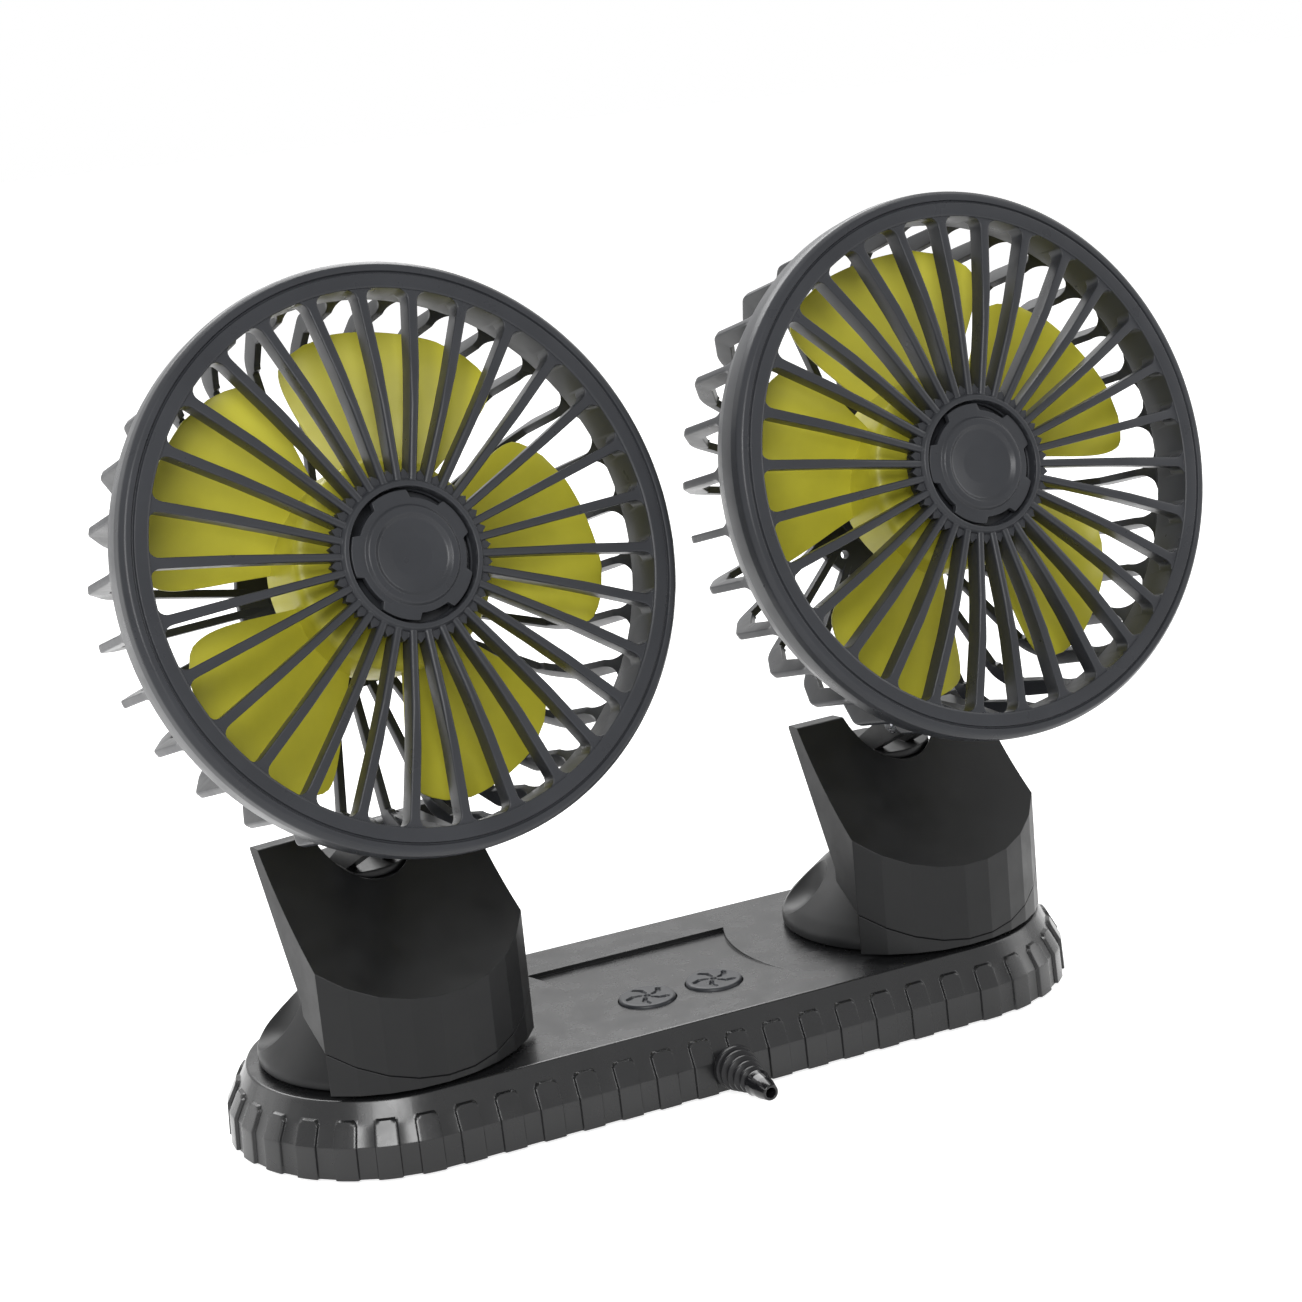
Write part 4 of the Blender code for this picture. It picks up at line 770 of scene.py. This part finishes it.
def sweep(stations, angle, shape):
    """A rib through stations of (place, normal, section), all in a radial plane at an angle."""
    spin = Matrix.Rotation(angle, 3, "Z")
    rings = []
    for place, normal, section in stations:
        ring = []
        for across, down in section:
            point = place - normal * down
            ring.append(spin @ Vector((point[0], across, point[1])))
        rings.append(ring)
    return loft(rings, shape)


def rib_section(width, back_width, depth, corner):
    """A rib's section: a rounded front edge and a slightly thinner back."""
    back_corner = 0.25 * MM
    return fillet([
        (-width / 2, 0.0, corner), (width / 2, 0.0, corner),
        (back_width / 2, depth, back_corner), (-back_width / 2, depth, back_corner),
    ], 0.0, 4)


def front_rib_stations():
    """A front rib from the hub ring over its knee to the ring, wider and flatter outwards."""
    hub_end = HUB_RING_RADIUS - 1.8 * MM
    ring_end = RING_INNER + 1.0 * MM
    knee = hub_end + (ring_end - hub_end) * 0.50
    stations = []
    shares = [k / 20 for k in range(19)] + [0.92, 0.94, 0.955, 0.968, 0.978, 0.99, 1.0]
    for share in shares:
        radius = hub_end + (ring_end - hub_end) * share
        height = RIB_KNEE_RISE * (1 - abs(radius - knee) / (ring_end - knee)) - RIB_KNEE_SINK
        soften = 0.35 * MM * math.exp(-(((radius - knee) / (2.2 * MM)) ** 2))
        past = min(1.0, max(0.0, (radius - (RING_INNER - RIB_FLARE_REACH)) / RIB_FLARE_REACH))
        width = (RIB_WIDTH + RIB_WIDENING * share) * MM
        width += RIB_FLARE_WIDTH * (1 - math.sqrt(1 - past * past))
        corner = (0.75 - 0.40 * min(1.0, max(0.0, (share - 0.40) * 5))) * MM
        section = rib_section(width, width * 0.66, RIB_DEPTH, corner)
        stations.append((Vector((radius, height - soften)), Vector((0.0, 1.0)), section))
    return stations


def guard_object():
    """The front guard: ring with its groove, radial ribs, hub ring and a toothed flange round it."""
    width = RING_RADIUS - RING_INNER
    spigot = BAND_RADIUS - BAND_WALL - GAP
    profile = [
        (RING_INNER, -0.2 * MM, 0.5 * MM), (RING_INNER + 0.5 * MM, 0.0, 0.3 * MM),
        (RING_RADIUS - 3.15 * MM, 0.0, 0.15 * MM),
        (RING_RADIUS - 2.95 * MM, -0.65 * MM, 0.1 * MM), (RING_RADIUS - 2.70 * MM, -0.65 * MM, 0.1 * MM),
        (RING_RADIUS - 2.45 * MM, 0.0, 0.2 * MM), (RING_RADIUS - 1.2 * MM, -0.1 * MM, 0.8 * MM),
        (RING_RADIUS - 0.2 * MM, -1.3 * MM, 1.2 * MM), (RING_RADIUS, -3.4 * MM, 1.0 * MM),
        (RING_RADIUS - 0.25 * MM, -RING_DEPTH, 0.4 * MM), (spigot, -RING_DEPTH, 0.1 * MM),
        (spigot, -RING_DEPTH - SPIGOT_DEPTH, 0.3 * MM),
        (RING_INNER + width * 0.05, -RING_DEPTH - SPIGOT_DEPTH, 0.3 * MM),
    ]
    guard = draft_object(turned(fillet(profile, 0.0, 4), 180), "guard")
    ribs = bmesh.new()
    for k in range(RIB_COUNT):
        sweep(front_rib_stations(), RIB_TURN + math.tau * k / RIB_COUNT, ribs)
    join_shapes(guard, ribs, "UNION")
    hub = [
        (HUB_RING_BORE, -HUB_TRENCH_DEPTH, 0.2 * MM), (14.3 * MM, -HUB_TRENCH_DEPTH, 0.2 * MM),
        (14.5 * MM, -0.1 * MM, 0.3 * MM), (15.5 * MM, 0.0, 0.4 * MM),
        (HUB_RING_RADIUS, -0.9 * MM, 0.5 * MM),
        (HUB_RING_RADIUS, -HUB_RING_DEPTH, 0.3 * MM), (HUB_RING_BORE, -HUB_RING_DEPTH, 0.3 * MM),
    ]
    join_shapes(guard, turned(fillet(hub, 0.0, 4), 120), "UNION")

    def teeth(angle, radius):
        """Pulls the flange out to a point midway between two ribs."""
        if radius < 17.0 * MM:
            return radius
        phase = ((angle - RIB_TURN) * RIB_COUNT / math.tau) % 1.0
        return radius + HUB_TOOTH_LENGTH * max(0.0, 1 - abs(phase - 0.5) * 3.2)

    back, front = -3.2 * MM, -1.3 * MM
    flange = [(14.0 * MM, back), (16.0 * MM, front), (17.1 * MM, front), (17.1 * MM, back)]
    join_shapes(guard, turned(flange, 360, teeth), "UNION")
    return guard


def cap_shape():
    """The hub cap: a lugged plate round a raised rim and a shallow dish."""
    def lugs(angle, radius):
        """Steps the plate's edge out at five lugs."""
        if radius < 11.0 * MM:
            return radius
        phase = (angle * CAP_LUG_COUNT / math.tau + 0.12) % 1.0
        step = max(0.0, min(1.0, (0.5 - abs(phase - 0.5)) * 26 - 5.5))
        return radius + CAP_LUG_LENGTH * (step - 1) + 0.4 * MM

    profile = [
        (0.0, -1.55 * MM, 0.0), (4.4 * MM, -1.35 * MM, 3.0 * MM), (7.9 * MM, -0.75 * MM, 1.0 * MM),
        (8.8 * MM, 0.0, 0.5 * MM), (10.2 * MM, 0.0, 0.5 * MM), (10.8 * MM, -0.75 * MM, 0.3 * MM),
        (13.4 * MM, -0.75 * MM, 0.15 * MM), (13.4 * MM, -2.2 * MM, 0.0), (10.9 * MM, -2.2 * MM, 0.0),
        (10.9 * MM, -7.5 * MM, 0.0), (0.0, -7.5 * MM, 0.0),
    ]
    return turned(fillet(profile, 0.0, 4), 300, lugs)


def rear_path():
    """A rear rib's outer edge from the band to the motor disc, as (radius, height), rounded."""
    outer = BAND_RADIUS - BAND_TAPER
    start = Vector((outer - 2 * GAP, -BAND_REAR + 2 * GAP))
    knee, bend = (Vector((outer * a, -REAR_DEPTH * b)) for a, b in REAR_KNEE_SHARES)
    corners = [(*(start + (knee - start) * 0.034 * k), 0.0) for k in range(9)]
    corners += [(*knee, 5.0 * MM), (*bend, 7.0 * MM)]
    corners.append((REAR_DISC_RADIUS - REAR_DISC_THICKNESS, -REAR_DEPTH + GAP, 0.0))
    return fillet(corners, 0.0, 6, False)


def rear_rib_stations():
    """Stations of a rear rib, thin where it leaves the band and where it meets the disc."""
    path = rear_path()
    stations = []
    arch = REAR_ARCH_RADIUS
    for k, point in enumerate(path):
        along = (path[min(k + 1, len(path) - 1)] - path[max(k - 1, 0)]).normalized()
        normal = Vector((-along[1], along[0]))
        share = k / (len(path) - 1)
        gone = (point - path[0]).length
        past = arch - min(arch, gone)
        flare = 2 * (arch - math.sqrt(max(0.0, arch * arch - past * past)))
        depth = (1.5 + 2.9 * min(1.0, gone / (7.0 * MM)) - 2.2 * max(0.0, share * 8 - 7)) * MM
        section = rib_section(1.9 * MM + flare, 1.7 * MM + flare, depth, 0.5 * MM)
        stations.append((point, normal, section))
    return stations


def shell_object():
    """The rear shell: band, turned-in ribs, motor disc with vents, motor sleeve and tilt lug."""
    front = RING_DEPTH + GAP
    inner = BAND_RADIUS - BAND_WALL
    profile = [
        (inner, -front, 0.2 * MM), (BAND_RADIUS, -front, 0.3 * MM),
        (BAND_RADIUS - BAND_TAPER, -BAND_REAR, 0.6 * MM), (inner - BAND_TAPER, -BAND_REAR, 0.4 * MM),
        (inner, -front - SPIGOT_DEPTH, 0.2 * MM),
    ]
    shell = draft_object(turned(fillet(profile, 0.0, 4), 180), "shell")
    ribs = bmesh.new()
    for k in range(RIB_COUNT):
        sweep(rear_rib_stations(), RIB_TURN + math.tau * k / RIB_COUNT, ribs)
    join_shapes(shell, ribs, "UNION")
    disc_front = -REAR_DEPTH + REAR_DISC_THICKNESS
    bore = MOTOR_RADIUS + GAP
    sleeve = bore + MOTOR_SLEEVE_WALL
    sleeve_end = disc_front + MOTOR_SLEEVE_LENGTH
    dish = -REAR_DEPTH + 0.8 * MM
    hub = [
        (0.0, dish, 0.0), (15.0 * MM, dish, 0.2 * MM), (15.4 * MM, -REAR_DEPTH, 0.2 * MM),
        (REAR_DISC_RADIUS, -REAR_DEPTH, 0.7 * MM), (REAR_DISC_RADIUS, disc_front, 0.4 * MM),
        (sleeve, disc_front, 0.4 * MM), (sleeve, sleeve_end, 0.3 * MM), (bore, sleeve_end, 0.3 * MM),
        (bore, disc_front, 0.0), (0.0, disc_front, 0.0),
    ]
    join_shapes(shell, turned(fillet(hub, 0.0, 3), 120), "UNION")
    holes = bmesh.new()
    for k in range(REAR_VENT_COUNT):
        angle = math.tau * (k + 0.5) / REAR_VENT_COUNT
        place = (REAR_VENT_CIRCLE * math.cos(angle), REAR_VENT_CIRCLE * math.sin(angle))
        disc(REAR_VENT_RADIUS, -REAR_DEPTH - MM, disc_front + MM, 24, place, holes)
    for side in (1.0, -1.0):
        place = (side * MOTOR_SCREW_SPREAD, 0.0)
        disc(MOTOR_SCREW_RADIUS, -REAR_DEPTH - MM, disc_front + MM, 24, place, holes)
    join_shapes(shell, holes, "DIFFERENCE")
    outline = []
    for k in range(25):
        angle = math.pi * k / 24 + math.radians(-30.0) + math.pi * 1.5
        y = -PIVOT_DROP + LUG_RADIUS * math.cos(angle)
        outline.append((y, -PIVOT_DEPTH + LUG_RADIUS * math.sin(angle)))
    outer = BAND_RADIUS - BAND_TAPER
    bend = REAR_KNEE_SHARES[1]
    outline.append((-outer * bend[0] + 1.9 * MM, -REAR_DEPTH * bend[1] + 3.8 * MM))
    outline.append((-outer + 2 * GAP + BAND_WALL / 2, -BAND_REAR + 2 * GAP))
    half = LUG_THICKNESS / 2
    join_shapes(shell, prism(outline, -half, half, "x"), "UNION")
    return join_shapes(shell, pin_hole(-PIVOT_DROP, -PIVOT_DEPTH), "DIFFERENCE")


def curve_through(table, share):
    """A smooth value through evenly chosen shares of a table."""
    xs = BLADE_SHARES
    k = max(0, min(len(xs) - 2, sum(1 for x in xs if x <= share) - 1))
    t = (share - xs[k]) / (xs[k + 1] - xs[k])

    def slope(i):
        a, b = max(0, i - 1), min(len(xs) - 1, i + 1)
        return (table[b] - table[a]) / (xs[b] - xs[a])

    span = xs[k + 1] - xs[k]
    return (
        table[k] * (2 * t ** 3 - 3 * t ** 2 + 1) + slope(k) * span * (t ** 3 - 2 * t ** 2 + t)
        + table[k + 1] * (-2 * t ** 3 + 3 * t ** 2) + slope(k + 1) * span * (t ** 3 - t ** 2)
    )


def blade_shape(shape, angle):
    """One swept, pitched blade with a round tip, thick in the middle and thin at its edges."""
    sector = math.tau / BLADE_COUNT
    rows, columns = 26, 22
    layers = [[], []]
    root = (SPINNER_RADIUS - SPINNER_WALL / 2) / BLADE_TIP_RADIUS
    for i in range(rows + 1):
        share = root + (1 - root) * i / rows
        lead = curve_through(BLADE_LEAD_SHARES, share)
        trail = curve_through(BLADE_TRAIL_SHARES, share)
        centre = (lead + trail) / 2
        half = (trail - lead) / 2
        if share > BLADE_TIP_START_SHARE:
            past = (share - BLADE_TIP_START_SHARE) / (1 - BLADE_TIP_START_SHARE)
            roundness = math.sqrt(max(0.0, 1 - past ** 2))
            half *= roundness * (1 - BLADE_TIP_WIDTH_SHARE) + BLADE_TIP_WIDTH_SHARE
        radius = BLADE_TIP_RADIUS * share
        for layer, side in zip(layers, (-0.5, 0.5)):
            row = []
            for j in range(columns + 1):
                across = 2 * j / columns - 1
                turn = sector * (centre + half * across)
                flat = radius * turn
                rise = -flat * math.tan(BLADE_PITCH) * (1 - share / 2)
                thick = BLADE_THICKNESS * (0.35 + 0.65 * (1 - across ** 6))
                thick *= 1 - 0.5 * max(0.0, share - BLADE_TIP_START_SHARE) * 10
                cup = BLADE_CUP * (1 - across ** 2) * math.sin(math.pi * min(1.0, share))
                row.append(shape.verts.new((
                    radius * math.cos(angle + turn), radius * math.sin(angle + turn),
                    -BLADE_MIDDLE + rise + side * thick - cup,
                )))
            layer.append(row)
    low, high = layers
    for layer, flip in ((low, True), (high, False)):
        for i in range(rows):
            for j in range(columns):
                quad = (layer[i][j], layer[i + 1][j], layer[i + 1][j + 1], layer[i][j + 1])
                shape.faces.new(quad[::-1] if flip else quad)
    border = [(0, j) for j in range(columns)] + [(i, columns) for i in range(rows)]
    border += [(rows, j) for j in range(columns, 0, -1)] + [(i, 0) for i in range(rows, 0, -1)]
    for (i, j), (m, n) in zip(border, border[1:] + border[:1]):
        shape.faces.new((low[i][j], low[m][n], high[m][n], high[i][j]))


def impeller_object():
    """The bladed impeller on its hollow spinner."""
    back = SPINNER_FRONT + SPINNER_LENGTH
    inner = SPINNER_RADIUS - SPINNER_WALL
    ceiling = -SPINNER_FRONT - SPINNER_CAP
    profile = [
        (0.0, -SPINNER_FRONT, 0.0), (SPINNER_RADIUS, -SPINNER_FRONT, 3.0 * MM),
        (SPINNER_RADIUS, -back, 0.3 * MM), (inner, -back, 0.3 * MM), (inner, ceiling, 0.5 * MM),
        (0.0, ceiling, 0.0),
    ]
    impeller = draft_object(turned(fillet(profile, 0.0, 6), 96), "impeller")
    blades = bmesh.new()
    for k in range(BLADE_COUNT):
        blade_shape(blades, math.tau * k / BLADE_COUNT)
    return join_shapes(impeller, blades, "UNION")


def side_frames(side):
    """The world matrices of a side's arm, neck, fan and impeller, from its joints."""
    def at(joint):
        return Matrix.Translation(JOINTS[side + joint]["pos_m"])

    across = -Vector(JOINTS[side + "_head_tilt"]["axis"]).normalized()
    ahead = Vector(JOINTS[side + "_impeller_spin"]["axis"]).normalized()
    up = ahead.cross(across)
    turn = Matrix((across, up, ahead)).transposed().to_4x4()
    pan = math.atan2(across[1], across[0])
    fan = at("_impeller_spin") @ turn
    return {
        "arm": at("_arm_swivel") @ Matrix.Rotation(ARM_YAW[side], 4, "Z"),
        "neck": at("_neck_swivel") @ Matrix.Rotation(pan, 4, "Z"),
        "fan": fan,
        "spin": fan @ Matrix.Rotation(SPIN[side], 4, "Z"),
    }


def build_sides():
    """Both arms with their necks, heads and impellers."""
    sources = {
        "turret": (foot_object(), "arm", "arm_group", "foot", "arm", FACETED),
        "bracket": (arm_object(), "arm", "arm_group", "arm", "arm", FACETED),
        "yoke": (neck_object(), "neck", "neck_group", "neck", "arm", ROUNDED),
        "grille": (guard_object(), "fan", "head_group", "front_guard", "shell", ROUNDED),
        "boss": (draft_object(cap_shape()), "fan", "head_group", "hub_cap", "shell", ROUNDED),
        "basket": (shell_object(), "fan", "head_group", "rear_shell", "shell", ROUNDED),
        "blades": (impeller_object(), "spin", "impeller_group", "impeller", "olive", ROUNDED),
    }
    for side in ("left", "right"):
        frames = side_frames(side)
        for name, (source, place, body, node, look, sharp) in sources.items():
            made = source.copy()
            made.data = source.data.copy()
            bpy.context.scene.collection.objects.link(made)
            piece(side + "_" + name, made, LOOKS[look], frames[place], side + "_" + body,
                  [side + "_" + node], sharp)
    for source, *_ in sources.values():
        bpy.data.objects.remove(source, do_unlink=True)


def dress_nodes():
    """Gives the CAD nodes that stay their finished materials."""
    looks = {
        "charcoal_plastic": "shell", "dark_plastic": "dark", "olive_plastic": "olive",
        "steel": "steel", "rubber": "rubber", "board": "board",
    }
    slots = {part["node"]: part["material_slot"] for part in frame["record"]["subparts"]}
    for name, node in frame["nodes"].items():
        node.data.materials.clear()
        node.data.materials.append(LOOKS[looks[slots[name]]])


# Surroundings

def area_light(name, place, target, size, power):
    """A soft lamp that faces a point."""
    data = bpy.data.lights.new(name, "AREA")
    data.shape = "RECTANGLE"
    data.size, data.size_y = size
    data.energy = power
    lamp = bpy.data.objects.new(name, data)
    bpy.context.scene.collection.objects.link(lamp)
    lamp.location = place
    lamp.rotation_euler = (Vector(target) - Vector(place)).to_track_quat("-Z", "Y").to_euler()


WORLD_LIGHT = 0.33
FLOOR_WHITE = 0.70
FLOOR_REACH = 6.0
FLOOR_DROP = 0.2 * MM
CAMERA_PLACE = (-0.22773, -0.54470, 0.24253)
CAMERA_YAW = math.radians(-23.26)
CAMERA_PITCH = math.radians(-13.75)
CAMERA_ROLL = math.radians(-5.52)
FOCAL_PIXELS = 2573.0
PHOTO_PIXELS = 1302.0


def background_rays(tree):
    """1 for the rays that show the background: the camera's, and those by way of metal and glass."""
    path = tree.nodes.new("ShaderNodeLightPath")
    seen = path.outputs["Is Camera Ray"]
    for ray in ("Is Glossy Ray", "Is Transmission Ray"):
        both = tree.nodes.new("ShaderNodeMath")
        both.operation = "MAXIMUM"
        link(tree, seen, both.inputs[0])
        link(tree, path.outputs[ray], both.inputs[1])
        seen = both.outputs["Value"]
    return seen


def build_world():
    """A world that is white to the camera and softly grey to the light."""
    world = bpy.data.worlds.new("studio")
    bpy.context.scene.world = world
    world.use_nodes = True
    tree = world.node_tree
    shader = tree.nodes["Background"]
    strength = range_node(tree, background_rays(tree), 0.0, 1.0, WORLD_LIGHT, 1.0)
    shader.inputs["Color"].default_value = (1.0, 1.0, 1.0, 1.0)
    link(tree, strength, shader.inputs["Strength"])


def build_floor():
    """A white floor that keeps the fan's soft shadow."""
    shape = bmesh.new()
    bmesh.ops.create_grid(shape, x_segments=1, y_segments=1, size=FLOOR_REACH)
    floor = bpy.data.objects.new("floor", finish_mesh(shape, "floor"))
    bpy.context.scene.collection.objects.link(floor)
    floor.location = (0.0, 0.0, -FLOOR_DROP)
    look = bpy.data.materials.new("floor_white")
    look.use_nodes = True
    tree = look.node_tree
    shader = tree.nodes["Principled BSDF"]
    shader.inputs["Base Color"].default_value = (FLOOR_WHITE, FLOOR_WHITE, FLOOR_WHITE, 1.0)
    shader.inputs["Roughness"].default_value = 0.9
    shader.inputs["Emission Color"].default_value = (1.0, 1.0, 1.0, 1.0)
    glow = range_node(tree, background_rays(tree), 0.0, 1.0, 0.0, 1.0 - FLOOR_WHITE * WORLD_LIGHT)
    link(tree, glow, shader.inputs["Emission Strength"])
    floor.data.materials.append(look)


def build_camera():
    """The camera at the photograph's viewpoint."""
    yaw, pitch, roll = CAMERA_YAW, CAMERA_PITCH, CAMERA_ROLL
    ahead = Vector((
        -math.sin(yaw) * math.cos(pitch), math.cos(yaw) * math.cos(pitch), math.sin(pitch),
    ))
    level = Vector((math.cos(yaw), math.sin(yaw), 0.0))
    above = level.cross(ahead)
    right = level * math.cos(roll) + above * math.sin(roll)
    up = above * math.cos(roll) - level * math.sin(roll)
    data = bpy.data.cameras.new("camera")
    data.sensor_width = 36.0
    data.lens = data.sensor_width * FOCAL_PIXELS / PHOTO_PIXELS
    data.clip_start = 0.01
    data.clip_end = 50.0
    camera = bpy.data.objects.new("camera", data)
    bpy.context.scene.collection.objects.link(camera)
    turn = Matrix((right, up, -ahead)).transposed().to_4x4()
    camera.matrix_world = Matrix.Translation(CAMERA_PLACE) @ turn
    bpy.context.scene.camera = camera


dress_nodes()
build_base()
build_sides()
build_world()
build_floor()
# Name, place and aim in metres, size in metres, watts
area_light("above", (0.05, 0.75, 0.90), (0.0, 0.0, 0.06), (1.0, 0.7), 14.0)
area_light("front", (-0.55, -1.05, 0.75), (0.0, 0.0, 0.10), (0.6, 0.6), 16.0)
area_light("left", (-1.00, 0.60, 0.42), (0.0, 0.0, 0.10), (0.7, 0.9), 3.0)
area_light("right", (0.95, -0.25, 0.45), (0.0, 0.0, 0.10), (0.4, 0.8), 3.0)
build_camera()
bpy.context.scene.view_settings.view_transform = "Standard"
